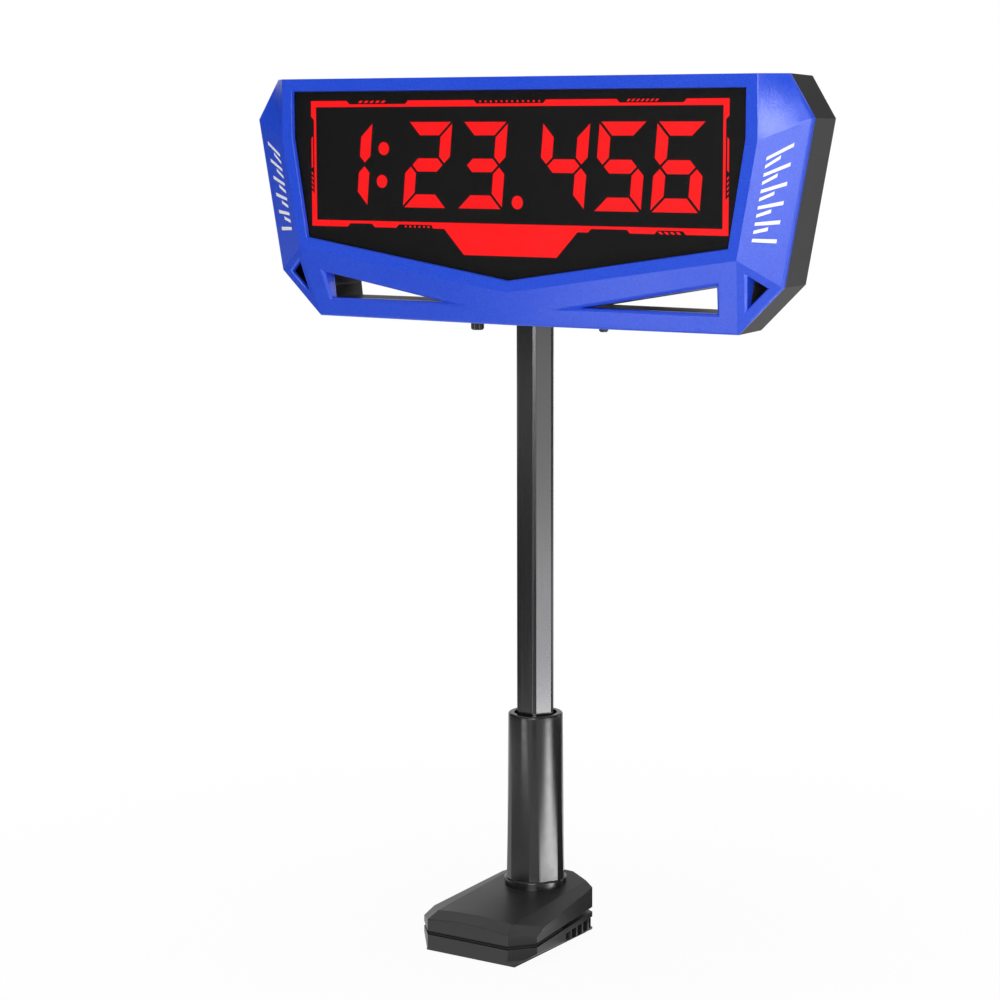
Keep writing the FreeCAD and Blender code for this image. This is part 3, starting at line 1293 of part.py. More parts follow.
def torsion_spring():
    """Coil round the pin, with one leg down on the lower jaw and one up under the roof."""
    radius = PIN_RADIUS + SPRING_WIRE / 2 + 0.1
    turns = SPRING_TURNS - 0.5
    length = turns * SPRING_PITCH
    coil = Part.makeHelix(SPRING_PITCH, length, radius)
    tangent = V(0, 1, SPRING_PITCH / (2 * math.pi * radius))
    section = Part.Wire([Part.Circle(V(radius, 0, 0), tangent, SPRING_WIRE / 2).toShape()])
    body = Part.Wire(coil).makePipeShell([section], True, True)
    body.rotate(V(0, 0, 0), V(0, 0, 1), 180)
    body.Placement = FreeCAD.Placement(V(-length / 2, HINGE_Y, HINGE_Z),
                                       FreeCAD.Rotation(V(0, 0, 1), V(1, 0, 0))).multiply(body.Placement)
    rear_y = HINGE_Y + SPRING_LEG_REACH
    margin = SPRING_WIRE / 2 + 0.05
    high = V(-length / 2, HINGE_Y, HINGE_Z + radius)
    low = V(length / 2, HINGE_Y, HINGE_Z - radius)
    high_end = V(-length / 2, rear_y, roof_z(0) - JAW_ROOF - margin)
    low_end = V(length / 2, rear_y, lower_top_z(rear_y) + margin)
    return body.fuse(spring_leg(high, high_end)).fuse(spring_leg(low, low_end))


# ---- column
def spigot_radius():
    return COLUMN_SCREW_CIRCLE - SMALL_SCREW[1] - 0.6


def column_screw_places():
    angles = (30, 150, 270)
    return [(COLUMN_SCREW_CIRCLE * math.cos(math.radians(turn)), COLUMN_SCREW_CIRCLE * math.sin(math.radians(turn)))
            for turn in angles]


def column_skin():
    """The column's outside: round at the top, a hexagon with wide corner strips at the foot."""
    foot = chamfered_hexagon(COLUMN_FOOT_FLATS, COLUMN_FOOT_BEVEL)
    foot_at = [V(x, y, COLUMN_FOOT_Z) for x, y in foot]
    foot_wire = Part.makePolygon(foot_at + foot_at[:1])
    turns = []
    for step in range(6):
        turns += [60 * step + COLUMN_STRIP_ANGLE, 60 * step + 60 - COLUMN_STRIP_ANGLE]
    arcs = []
    for index, turn in enumerate(turns):
        after = turns[(index + 1) % len(turns)]
        if after < turn:
            after += 360
        angles = [math.radians(angle) for angle in (turn, (turn + after) / 2, after)]
        ends = [V(COLUMN_TOP_RADIUS * math.cos(angle), COLUMN_TOP_RADIUS * math.sin(angle), COLUMN_TOP_Z)
                for angle in angles]
        arcs.append(Part.Arc(*ends).toShape())
    return Part.makeLoft([foot_wire, Part.Wire(arcs)], True, True)


def column_sleeve():
    flange = upright_cylinder(0, 0, FLANGE_RADIUS, HINGE_Z, COLUMN_FOOT_Z - FLANGE_BEVEL)
    flange = flange.fuse(Part.makeCone(FLANGE_RADIUS, FLANGE_RADIUS - FLANGE_BEVEL, FLANGE_BEVEL,
                                       V(0, 0, COLUMN_FOOT_Z - FLANGE_BEVEL)))
    flange = flange.cut(upper_form(0, 0))
    above = Part.makeBox(REACH, REACH, REACH, V(-REACH / 2, -REACH / 2, roof_z(-FLANGE_RADIUS) - 2))
    flange = flange.common(above)
    spigot = upright_cylinder(0, 0, spigot_radius(), roof_z(0) - JAW_ROOF, COLUMN_FOOT_Z)
    shape = column_skin().fuse(flange).fuse(spigot)
    socket = chamfered_hexagon(POLE_FLATS + 2 * SOCKET_GAP, POLE_BEVEL)
    cuts = [plan_prism(socket, POLE_SEAT_Z, COLUMN_TOP_Z),
            upright_cylinder(0, 0, COLUMN_MOUTH_RADIUS, COLUMN_TOP_Z - COLUMN_MOUTH_DEPTH, COLUMN_TOP_Z + 1)]
    for x, y in column_screw_places():
        cuts.append(upright_cylinder(x, y, SMALL_SCREW[0], HINGE_Z, roof_z(y) + COLUMN_SCREW_LENGTH - JAW_ROOF))
    return shape.cut(cuts)


def column_screw_seat(y):
    """Lower face of the boss under the roof that a column screw's head bears on."""
    return roof_z(y) - JAW_ROOF - 1.0


def column_screws():
    return group([screw(SMALL_SCREW, COLUMN_SCREW_LENGTH - 2.0, V(x, y, column_screw_seat(y)), (0, 0, 1))
                  for x, y in column_screw_places()])


def main():
    nodes = {
        "lower_jaw_shell": lower_jaw_shell(),
        "lower_cover": lower_cover(),
        "ballast_plate": ballast_plate(),
        "foot_pad": foot_pad(),
        "cover_screws": cover_screws(),
        "lower_jaw_pad": lower_jaw_pad(),
        "hinge_pin": hinge_pin(),
        "pin_clips": pin_clips(),
        "torsion_spring": torsion_spring(),
        "upper_jaw_shell": upper_jaw_shell(),
        "upper_jaw_plate": upper_jaw_plate(),
        "upper_ballast": upper_ballast(),
        "plate_screws": plate_screws(),
        "upper_jaw_pad": upper_jaw_pad(),
        "column_sleeve": column_sleeve(),
        "column_screws": column_screws(),
        "pole_tube": pole_tube(),
        "pole_foot_plug": pole_plug(POLE_SEAT_Z, 1),
        "pole_top_plug": pole_plug(pole_top_z(), -1),
        "front_bezel": front_bezel(),
        "rear_housing": rear_housing(),
        "window_pane": window_pane(),
        "printed_border": printed_border(),
        "display_mask": display_mask(),
        "lit_segments": light_guides(True),
        "dark_segments": light_guides(False),
        "point_lights": point_lights(),
        "point_blocks": point_block(),
        "display_board": display_board(),
        "board_screws": board_screws(),
        "board_connector": board_connector(),
        "control_board": control_board(),
        "control_chips": control_chips(),
        "control_screws": control_screws(),
        "battery_box": battery_box(),
        "battery_cells": battery_cells(),
        "battery_contacts": battery_contacts(),
        "battery_door": battery_door(),
        "door_screws": door_screws(),
        "power_leads": power_leads(),
        "buzzer": buzzer(),
        "data_socket": data_socket(),
        "switch_body": switch_body(),
        "power_slider": power_slider(),
        "dimmer_body": control_body(KNOB_PLACE),
        "brightness_knob": brightness_knob(),
        "button_body": control_body(BUTTON_PLACE),
        "mode_button": mode_button(),
        "housing_screws": housing_screws(),
    }
    for index, centre in enumerate(FIGURE_CENTRES):
        nodes["digit_block_%d" % (index + 1)] = digit_block(centre)
    os.makedirs("parts", exist_ok=True)
    for name, shape in nodes.items():
        shape.exportStep("parts/%s.step" % name)
        box = shape.BoundBox
        print("%-18s solids %2d volume %9.1f valid %s x %.1f %.1f y %.1f %.1f z %.1f %.1f" % (
            name, len(shape.Solids), shape.Volume, shape.isValid(), box.XMin, box.XMax, box.YMin, box.YMax,
            box.ZMin, box.ZMax))


main()
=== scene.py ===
# %% [markdown]
# A tall timer display: a wide blue head with lit red figures, on a hexagonal pole and a small black clip
# base. The construction is already there, as the frame that is loaded here. It holds every casing, plug,
# screw and board at its real size. This lesson dresses it: it softens the edges that a mould leaves round,
# makes the surfaces that need a finer net than the frame has, and gives each piece a finish of its own.

# %% Load the frame and keep its box
import json
import math

import bmesh
import bpy
import numpy as np
from mathutils import Matrix, Vector


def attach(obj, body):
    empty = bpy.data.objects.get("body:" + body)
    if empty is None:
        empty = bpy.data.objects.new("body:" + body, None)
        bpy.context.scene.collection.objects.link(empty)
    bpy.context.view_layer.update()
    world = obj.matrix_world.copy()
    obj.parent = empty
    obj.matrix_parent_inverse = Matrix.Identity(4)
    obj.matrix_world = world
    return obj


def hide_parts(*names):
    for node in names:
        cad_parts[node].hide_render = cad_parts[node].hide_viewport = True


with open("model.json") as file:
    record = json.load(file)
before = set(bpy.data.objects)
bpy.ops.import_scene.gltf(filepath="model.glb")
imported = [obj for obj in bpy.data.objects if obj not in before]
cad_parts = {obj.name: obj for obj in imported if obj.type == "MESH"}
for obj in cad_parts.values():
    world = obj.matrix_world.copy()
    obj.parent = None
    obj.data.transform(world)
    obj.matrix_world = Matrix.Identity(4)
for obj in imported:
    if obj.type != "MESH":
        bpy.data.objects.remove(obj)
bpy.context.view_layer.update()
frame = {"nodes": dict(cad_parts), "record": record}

MM = 0.001


slots = {entry["node"]: entry["material_slot"] for entry in frame["record"]["subparts"]}
bodies = {node: body for body, nodes in frame["record"]["behaviour"]["bodies"].items() for node in nodes}

# %% [markdown]
# The camera stands to the right of the display and looks a little down on it, through a long lens, so the
# head keeps its proportions. It is set by its place, by how far it turns, dips and rolls, and by its lens.

# %% Camera
EYE = Vector((0.67777, -1.03723, 0.38217))
YAW, PITCH, ROLL = math.radians(33.927), math.radians(8.064), math.radians(-0.134)
SENSOR_WIDTH, FOCAL_LENGTH = 36.0, 96.577
FARTHEST_SEEN = 50.0

gaze = Vector((-math.sin(YAW) * math.cos(PITCH), math.cos(YAW) * math.cos(PITCH), -math.sin(PITCH)))
level = Vector((math.cos(YAW), math.sin(YAW), 0.0))
upright = level.cross(gaze)
across = level * math.cos(ROLL) + upright * math.sin(ROLL)
above = upright * math.cos(ROLL) - level * math.sin(ROLL)
lens = bpy.data.cameras.new("camera")
lens.sensor_width = SENSOR_WIDTH
lens.lens = FOCAL_LENGTH
lens.clip_end = FARTHEST_SEEN
camera = bpy.data.objects.new("camera", lens)
camera.matrix_world = Matrix((
    (across.x, above.x, -gaze.x, EYE.x),
    (across.y, above.y, -gaze.y, EYE.y),
    (across.z, above.z, -gaze.z, EYE.z),
    (0.0, 0.0, 0.0, 1.0),
))
bpy.context.scene.collection.objects.link(camera)
bpy.context.scene.camera = camera
bpy.context.scene.view_settings.view_transform = "Standard"
print("camera", tuple(round(value, 3) for value in camera.location))

# %% [markdown]
# A finish is a small network of nodes. Written node by node it is hard to read, so one class wraps an output
# socket and another wraps the network. A node is then one line that names its kind and what feeds it, and the
# product of two patterns is written with a plain times sign.


# %% Networks of nodes
class Wire:
    """An output socket of a network. Arithmetic on it adds a Math node and gives the new output."""

    def __init__(self, network, socket):
        self.network = network
        self.socket = socket

    def maths(self, operation, other):
        """Combine this output with another one, or with a number."""
        return self.network.node("ShaderNodeMath", {"operation": operation}, {0: self, 1: other})

    def __mul__(self, other):
        return self.maths("MULTIPLY", other)

    __rmul__ = __mul__


class Network:
    """A tree of nodes under construction."""

    def __init__(self, tree):
        self.tree = tree

    def plug(self, holder, key, value):
        """Set or link one input, found by its name or its number."""
        if isinstance(value, Wire):
            self.tree.links.new(value.socket, holder.inputs[key])
        else:
            holder.inputs[key].default_value = value

    def node(self, kind, settings, sockets, output=0):
        """Add a node with its settings and inputs, and give the output that is asked for."""
        made = self.tree.nodes.new(kind)
        for key, value in settings.items():
            setattr(made, key, value)
        for key, value in sockets.items():
            self.plug(made, key, value)
        return Wire(self, made.outputs[output])


def colour(code):
    """A colour written as six hexadecimal digits, as the shader's own light values."""
    parts = [int(code[start:start + 2], 16) / 255 for start in (0, 2, 4)]
    light = [part / 12.92 if part <= 0.04045 else ((part + 0.055) / 1.055) ** 2.4 for part in parts]
    return (*light, 1.0)


def dimmed(shade, share):
    """A share of a colour's light."""
    return tuple(part * share for part in shade[:3]) + (1.0,)


print("a middle grey's light value", round(colour("808080")[0], 3))

# %% [markdown]
# Every finish is a pattern that feeds one shader. The patterns are noise on the piece's own coordinates, in
# metres, so a grain keeps its real size on every piece.

# %% A material and its patterns
looks = {}


class Finish(Network):
    """A material under construction: node() adds any node, and surface() sets the shader's own sockets."""

    def __init__(self, name):
        self.name = name
        self.material = bpy.data.materials.new(name)
        self.material.use_nodes = True
        super().__init__(self.material.node_tree)
        self.tree.nodes.clear()
        self.output = self.tree.nodes.new("ShaderNodeOutputMaterial")
        self.shader = self.tree.nodes.new("ShaderNodeBsdfPrincipled")
        self.tree.links.new(self.shader.outputs[0], self.output.inputs[0])

    def surface(self, **sockets):
        """Set or link the shader's sockets, whose names are written with _ for a space."""
        for key, value in sockets.items():
            self.plug(self.shader, key.replace("_", " "), value)

    def keep(self):
        """Put the material with the display's looks, under the name that was asked for."""
        looks[self.name] = self.material

    def place(self):
        """The piece's own coordinates, in metres."""
        return self.node("ShaderNodeTexCoord", {}, {}, "Object")

    def stretched(self, scale):
        """The piece's coordinates, scaled along each axis, which draws a pattern out into streaks."""
        sockets = {"Vector": self.place(), "Scale": scale}
        return self.node("ShaderNodeMapping", {"vector_type": "POINT"}, sockets)

    def noise(self, size, detail=2.0, roughness=0.5, where=None):
        """Soft random values from 0 to 1 whose spots are about this size in metres."""
        where = where or self.place()
        sockets = {"Vector": where, "Scale": 1.0 / size, "Detail": detail, "Roughness": roughness}
        return self.node("ShaderNodeTexNoise", {}, sockets, "Fac")

    def spread(self, value, low, high):
        """Carry values of about 0.3 to 0.7 over to a range."""
        sockets = {"Value": value, "From Min": 0.3, "From Max": 0.7, "To Min": low, "To Max": high}
        return self.node("ShaderNodeMapRange", {}, sockets)

    def blend(self, amount, first, second):
        """A mix of two colours: the first at 0, the second at 1."""
        sockets = {"Factor": amount, 6: first, 7: second}
        return self.node("ShaderNodeMix", {"data_type": "RGBA"}, sockets, 2)

    def bump(self, height, depth):
        """Raise and sink the surface by a pattern, by a depth in metres."""
        return self.node("ShaderNodeBump", {}, {"Height": height, "Distance": depth, "Strength": 1.0})


print("nodes waiting for a finish", len(frame["nodes"]))

# %% [markdown]
# The casings are moulded in sparked tools, which leaves a fine even grain. It is a fraction of a millimetre
# wide, so it shows as a soft speckle and a dull shine. The column is glossy instead, so it has no grain: only
# a slow waviness and a few dull patches break its shine.


# %% Moulded plastics
def grained(name, code, pale, roughness, grain=0.6 * MM, depth=0.02 * MM, speckle=0.5, shine=0.5):
    """Moulded plastic: a fine grain in its height, a faint speckle in its colour, and a little unevenness."""
    finish = Finish(name)
    fine = finish.noise(grain, detail=3.0, roughness=0.6)
    broad = finish.noise(30 * MM)
    finish.surface(
        Base_Color=finish.blend(finish.spread(fine, 0.0, speckle), colour(code), colour(pale)),
        Roughness=finish.spread(broad, roughness - 0.03, roughness + 0.03),
        Specular_IOR_Level=shine,
        Normal=finish.bump(fine, depth),
    )
    finish.keep()


def glossy(name, code, roughness):
    """Polished plastic: its shine is broken only by a slow waviness and a few dull patches."""
    finish = Finish(name)
    wave = finish.noise(12 * MM, detail=1.0)
    haze = finish.noise(4 * MM, detail=3.0)
    finish.surface(
        Base_Color=colour(code),
        Roughness=finish.spread(haze, roughness * 0.85, roughness * 1.2),
        Normal=finish.bump(wave, 0.04 * MM),
    )
    finish.keep()


grained("blue_plastic", "1545D3", "3B68FF", 0.31, grain=0.8 * MM, depth=0.08 * MM)
grained("dark_housing", "272728", "363637", 0.5)
grained("base_plastic", "202021", "2A2A2B", 0.4, depth=0.012 * MM)
glossy("column_plastic", "191919", 0.2)
grained("plug_plastic", "1A1A1A", "242424", 0.55)
grained("knob_plastic", "161616", "202020", 0.42)
grained("mask_black", "141414", "181818", 0.6, speckle=0.3, shine=0.2)
grained("dark_light", "151414", "191818", 0.6, speckle=0.3, shine=0.2)
grained("reflector", "C9C9C4", "D6D6D2", 0.5)
grained("board_green", "1E5B34", "26693E", 0.4, grain=2 * MM)
grained("part_black", "1B1B1C", "262627", 0.5)
grained("tick_white", "FFFFFF", "F4F5F8", 0.5, speckle=0.3)
print("plastics", len(looks))

# %% [markdown]
# The pole is drawn through a die, as a wire is, and a sheet is rolled, so their streaks run lengthwise. The
# same noise makes them once its coordinates are squeezed along one axis. A screw is too small to show any.

# %% Metals
ALONG_X, ALONG_Y, ALONG_Z = (0.02, 1.0, 1.0), (1.0, 0.02, 1.0), (1.0, 1.0, 0.01)
NO_STREAKS = (1.0, 1.0, 1.0)


def drawn_metal(name, code, roughness, metallic=1.0, along=ALONG_Z):
    """Metal drawn lengthwise: noise stretched along one axis gives streaks in its shine."""
    finish = Finish(name)
    streaks = finish.noise(0.5 * MM, detail=3.0, roughness=0.6, where=finish.stretched(along))
    finish.surface(
        Base_Color=colour(code),
        Metallic=metallic,
        Roughness=finish.spread(streaks, roughness - 0.04, roughness + 0.05),
        Normal=finish.bump(streaks, 0.005 * MM),
    )
    finish.keep()


drawn_metal("pole_metal", "4E4E4F", 0.19, metallic=0.9)
drawn_metal("contact_metal", "B9BABC", 0.3)
drawn_metal("cell_metal", "8C9096", 0.35, along=ALONG_X)
drawn_metal("screw_steel", "4A4B4D", 0.38, along=NO_STREAKS)
drawn_metal("pin_steel", "A9ABAE", 0.25, along=ALONG_X)
drawn_metal("spring_steel", "8B8D90", 0.3)
drawn_metal("ballast_steel", "6C6E70", 0.45, along=ALONG_Y)
print("plastics and metals", len(looks))

# %% [markdown]
# The figures are light guides, so they are made to glow and need no lamp to be seen. The red ink is print,
# not
# a light, but it is given the same glow: a painted glow that keeps it as bright as the figures under any
# lamp.
# The pane in front is a smoked sheet, which is made mostly see-through and not refracting, because it is thin
# and flat.


# %% Lit pieces, the ink's painted glow, the pane and rubber
def lit_or_painted_glow(name, code, glow):
    """A light guide, or print given a painted glow: it glows evenly, a touch less in its slow cloudy patches.
    """
    finish = Finish(name)
    cloud = finish.noise(6 * MM)
    shade = colour(code)
    finish.surface(
        Base_Color=dimmed(shade, 0.1),
        Roughness=finish.spread(cloud, 0.42, 0.5),
        Emission_Color=finish.blend(finish.spread(cloud, 0.0, 1.0), shade, dimmed(shade, 0.93)),
        Emission_Strength=glow,
    )
    finish.keep()


def pane_glass(name, code, alpha, roughness):
    """Thin clear sheet: mostly see-through, with a shine that is slightly dulled by handling."""
    finish = Finish(name)
    smear = finish.noise(20 * MM, detail=3.0)
    finish.surface(
        Base_Color=colour(code),
        Roughness=finish.spread(smear, roughness * 0.8, roughness * 1.3),
        Specular_IOR_Level=0.4,
        Alpha=alpha,
    )
    finish.keep()


def rubber(name, code):
    """Rubber and soft wire covering: dull, with fine pores."""
    finish = Finish(name)
    pores = finish.noise(0.9 * MM, detail=3.0, roughness=0.7)
    finish.surface(
        Base_Color=colour(code),
        Roughness=finish.spread(pores, 0.7, 0.85),
        Normal=finish.bump(pores, 0.04 * MM),
    )
    finish.keep()


# The red ink is print: its glow is painted light, which keeps it as bright as the lit figures.
lit_or_painted_glow("red_ink", "FF0A10", 1.2)
lit_or_painted_glow("red_light", "FF0A10", 1.15)
pane_glass("smoked_pane", "050505", 0.1, 0.13)
rubber("lead_red", "9C2020")
rubber("pad_rubber", "161616")
rubber("foot_rubber", "303031")
for node, part in frame["nodes"].items():
    part.data.materials.clear()
    part.data.materials.append(looks[slots[node]])
print("finishes", len(looks))

# %% [markdown]
# A mould has no perfectly sharp edges: each one is rounded by a few tenths of a millimetre, and that round is
# what catches the light. The casings' flat faces are already right, so a copy of each is merged into clean
# flats and its long edges are rounded. On most casings small drilled holes are left alone, because the edges
# round their rims are too short. A crease that is too flat to be rounded is only marked as sharp, so that two
# facets that nearly lie in one plane still part in the light.

# %% Casings with softened edges
MERGE_DISTANCE = 0.002 * MM
SAME_PLANE_DEGREES, CREASE_DEGREES = 0.15, 5.9
STEPS_IN_A_ROUND = 2
LARGE_FACES_RULE = 100


def keep_flats(piece):
    """Shading that leaves large faces flat and bends only across the narrow ones between them."""
    weighted = piece.modifiers.new("flat_faces_stay_flat", "WEIGHTED_NORMAL")
    weighted.keep_sharp = True
    weighted.weight = LARGE_FACES_RULE


def softened(node, radius, sharp=12.0, shortest=1.5, outward=False):
    """A copy of a casing with its long edges rounded, standing in for the frame's own.

    An edge is rounded where its faces turn by more than the sharp angle and it is longer than the shortest.
    With outward set, only the edges that point out of the material are rounded, and every face is convex
    first. No point leaves the casing's own box.
    """
    source = frame["nodes"][node]
    net = bmesh.new()
    net.from_mesh(source.data)
    bmesh.ops.remove_doubles(net, verts=net.verts, dist=MERGE_DISTANCE)
    flat = math.radians(SAME_PLANE_DEGREES)
    bmesh.ops.dissolve_limit(net, angle_limit=flat, verts=net.verts, edges=net.edges)
    if outward:
        bmesh.ops.connect_verts_concave(net, faces=list(net.faces))
    edges = [edge for edge in net.edges if len(edge.link_faces) == 2
             and edge.calc_face_angle(0.0) > math.radians(sharp) and edge.calc_length() > shortest * MM
             and (edge.is_convex or not outward)]
    made = bmesh.ops.bevel(
        net, geom=edges, offset=radius * MM, offset_type="OFFSET", segments=STEPS_IN_A_ROUND, profile=0.5,
        affect="EDGES", clamp_overlap=False, loop_slide=False)
    rounds = set(made["faces"])
    corners = np.array([vert.co for vert in source.data.vertices])
    lowest, highest = corners.min(axis=0), corners.max(axis=0)
    for vert in net.verts:
        vert.co = np.clip(vert.co, lowest, highest)
    for edge in net.edges:
        on_a_round = any(face in rounds for face in edge.link_faces)
        edge.smooth = on_a_round or edge.calc_face_angle(0.0) < math.radians(CREASE_DEGREES)
    mesh = bpy.data.meshes.new(node + "_soft")
    net.to_mesh(mesh)
    net.free()
    mesh.materials.append(looks[slots[node]])
    mesh.polygons.foreach_set("use_smooth", np.ones(len(mesh.polygons), dtype=bool))
    piece = bpy.data.objects.new(node + "_soft", mesh)
    bpy.context.scene.collection.objects.link(piece)
    keep_flats(piece)
    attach(piece, bodies[node])
    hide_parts(node)
    print(node, "edges rounded", len(edges), "faces", len(mesh.polygons))


softened("front_bezel", 0.22)
softened("rear_housing", 0.2, sharp=20.0, outward=True)
softened("upper_jaw_shell", 0.25, sharp=8.0, shortest=0.1)
softened("lower_jaw_shell", 0.15, outward=True)
softened("pole_tube", 0.15, sharp=20.0)

# %% [markdown]
# The column changes its section on the way up: a hexagon with wide corner strips at its foot, a circle at its
# top. Straight lines join each point of the foot's outline to a point of the circle, so its creases are sharp
# below and fade out above. A narrow strip of the net lies along each crease, which rounds it.

# %% Column: its outline, once round
FOOT_APOTHEM, FOOT_HALF_FLAT, FOOT_Z = 13.5, 5.023, 26.7
TOP_RADIUS, TOP_Z, TOP_HALF_TURN = 12.9, 105.9, 27.0
CREASE_STRIP = 0.25
SIXTH = 60.0
INNER_SHARES = (-0.75, -0.5, -0.25, 0.0, 0.25, 0.5, 0.75)
CORNER_SHARES = (0.052, 0.5, 0.948)


def turned(points, degrees):
    """Points turned about the axis: (x cos a - y sin a, x sin a + y cos a)."""
    cos, sin = math.cos(math.radians(degrees)), math.sin(math.radians(degrees))
    return points @ np.array(((cos, sin), (-sin, cos)))


def net_columns():
    """Foot point and circle angle of each column of the net, once round.

    On a flat: foot = (apothem, h * s) turned by 60 k + 30 degrees, angle = 60 k + 30 + 27 s, s from -1 to 1.
    On a corner strip both are carried on in straight proportion to the next flat's first point.
    """
    edge = 1 - CREASE_STRIP / FOOT_HALF_FLAT
    on_flat = np.array((-edge, *INNER_SHARES, edge))
    on_corner = np.array(CORNER_SHARES)
    flat = np.column_stack([np.full(len(on_flat), FOOT_APOTHEM), FOOT_HALF_FLAT * on_flat])
    end = np.array((FOOT_APOTHEM, FOOT_HALF_FLAT))
    following = turned(np.array((FOOT_APOTHEM, -FOOT_HALF_FLAT)), SIXTH)
    sixth = np.vstack([flat, end + (following - end) * on_corner[:, None]])
    corner_turn = SIXTH - 2 * TOP_HALF_TURN
    angles = np.concatenate([TOP_HALF_TURN * on_flat, TOP_HALF_TURN + corner_turn * on_corner])
    middles = SIXTH * np.arange(6) + SIXTH / 2
    return (np.vstack([turned(sixth, middle) for middle in middles]),
            np.radians(np.concatenate([middle + angles for middle in middles])))


feet, turns = net_columns()
print("points round the column", len(turns))

# %% [markdown]
# One net makes the whole column. Its rows start on the hidden floor inside the upper jaw, go out under the
# flange, up the outside, over the rounded lip and down again into the hexagonal bore. The first and the last
# row are rings on the axis, a hundredth of a millimetre in radius, so both ends are all but closed.

# %% Column: its rows
ROOF_FRONT_Y, ROOF_FRONT_Z, ROOF_SLOPE, ROOF_RADIUS = -51.1, 19.7, 0.082, 190.0
AXIS_RADIUS = 0.01
SPIGOT_RADIUS, SPIGOT_FLOOR_Z, SPIGOT_BEVEL = 7.3, 22.7, 0.1
FLANGE_TOP_RADIUS, FLANGE_EDGE_Z, FLANGE_OUT, FLANGE_UP, FLANGE_STRIP = 14.0, 25.9, 0.8, 0.75, 0.2
RIM_ROUND, MOUTH_ROUND = 0.95, 0.4
MOUTH_RADIUS, MOUTH_FLOOR_Z, MOUTH_FILLET_UP, MOUTH_FILLET_IN = 10.0, 93.9, 0.3, 0.1
BORE_APOTHEM, BORE_CORNER_RADIUS, BORE_BEVEL_IN, BORE_BEVEL_DOWN, SEAT_Z = 8.6, 9.3, 0.1, 0.2, 36.0


def ring_at(radius, z):
    """A level curve of the column's net: a circle, or any curve whose radius is given for each turn."""
    return np.stack([radius * np.cos(turns), radius * np.sin(turns), np.full(len(turns), z)], axis=1)


def hexagon_at(apothem, z):
    """A level hexagon with rounded corners and with flats to the front and rear.

    radius = apothem / cos(angle to the middle of the nearest flat), and never more than the corner radius.
    """
    nearest = turns % math.radians(SIXTH) - math.radians(SIXTH / 2)
    return ring_at(np.minimum(apothem / np.cos(nearest), BORE_CORNER_RADIUS), z)


def skin_at(share):
    """P(u, v) = (1 - v) * foot(u) + v * circle(u), with v from 0 at the foot to 1 at the top."""
    foot = np.column_stack([feet, np.full(len(feet), FOOT_Z)])
    return foot * (1 - share) + ring_at(TOP_RADIUS, TOP_Z) * share


def roof_under(radius):
    """A circle laid on the upper jaw's roof: z = 19.7 + 0.082 (y + 51.1) - x^2 / (2 * 190)."""
    ring = ring_at(radius, 0.0)
    ring[:, 2] = ROOF_FRONT_Z + ROOF_SLOPE * (ring[:, 1] - ROOF_FRONT_Y) - ring[:, 0] ** 2 / (2 * ROOF_RADIUS)
    return ring


def lip(radius, z, out, up, degrees):
    """Circles over a rounded lip: radius + out * cos(t), z + up * sin(t)."""
    return [ring_at(radius + out * math.cos(lean), z + up * math.sin(lean)) for lean in np.radians(degrees)]


flange_radius = FLANGE_TOP_RADIUS + FLANGE_OUT
rows = [
    ring_at(AXIS_RADIUS, SPIGOT_FLOOR_Z),
    ring_at(SPIGOT_RADIUS - SPIGOT_BEVEL, SPIGOT_FLOOR_Z),
    ring_at(SPIGOT_RADIUS, SPIGOT_FLOOR_Z + SPIGOT_BEVEL),
    roof_under(SPIGOT_RADIUS),
    roof_under(flange_radius - FLANGE_STRIP),
    roof_under(flange_radius),
]
rows += lip(FLANGE_TOP_RADIUS, FLANGE_EDGE_Z, FLANGE_OUT, FLANGE_UP, np.linspace(0, 90, 5))
rows.append(skin_at(0.0))
rows += [skin_at(share) for share in np.linspace(0.004, 0.988, 42)]
rows += lip(TOP_RADIUS - RIM_ROUND, TOP_Z - RIM_ROUND, RIM_ROUND, RIM_ROUND, (20, 45, 70, 90))
rows += lip(MOUTH_RADIUS + MOUTH_ROUND, TOP_Z - MOUTH_ROUND, MOUTH_ROUND, MOUTH_ROUND, (90, 120, 150, 180))
rows += [
    ring_at(MOUTH_RADIUS, MOUTH_FLOOR_Z + MOUTH_FILLET_UP),
    ring_at(MOUTH_RADIUS - MOUTH_FILLET_IN, MOUTH_FLOOR_Z),
    hexagon_at(BORE_APOTHEM + BORE_BEVEL_IN, MOUTH_FLOOR_Z),
    hexagon_at(BORE_APOTHEM, MOUTH_FLOOR_Z - BORE_BEVEL_DOWN),
    hexagon_at(BORE_APOTHEM, SEAT_Z),
    ring_at(AXIS_RADIUS, SEAT_Z),
]
print("rows of the column", len(rows))

# %% Column: its mesh
COLUMN_SHARP = 40.0


def netted(name, grid):
    """A mesh from closed rows of points: each four neighbours make a face, and a row's ends are joined."""
    high, wide = grid.shape[:2]
    number = np.arange(high * wide).reshape(high, wide)
    right = np.roll(number, -1, axis=1)
    faces = np.stack([number[:-1], right[:-1], right[1:], number[1:]], axis=-1).reshape(-1, 4)
    mesh = bpy.data.meshes.new(name)
    mesh.from_pydata(grid.reshape(-1, 3).tolist(), [], faces.tolist())
    mesh.polygons.foreach_set("use_smooth", np.ones(len(faces), dtype=bool))
    mesh.update()
    piece = bpy.data.objects.new(name, mesh)
    bpy.context.scene.collection.objects.link(piece)
    return piece


column = netted("column", np.array(rows) * MM)
column.data.materials.append(looks["column_plastic"])
column.data.set_sharp_from_angle(angle=math.radians(COLUMN_SHARP))
keep_flats(column)
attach(column, bodies["column_sleeve"])
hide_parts("column_sleeve")
print("column faces", len(column.data.polygons))

# %% [markdown]
# The red frame and the badge are printed on the rear of the pane. Two surfaces in exactly one place would
# fight over which of them is seen, so the ink's front is drawn back by the thickness of the clear film that
# binds it.

# %% Ink behind the pane
FILM = 0.03 * MM

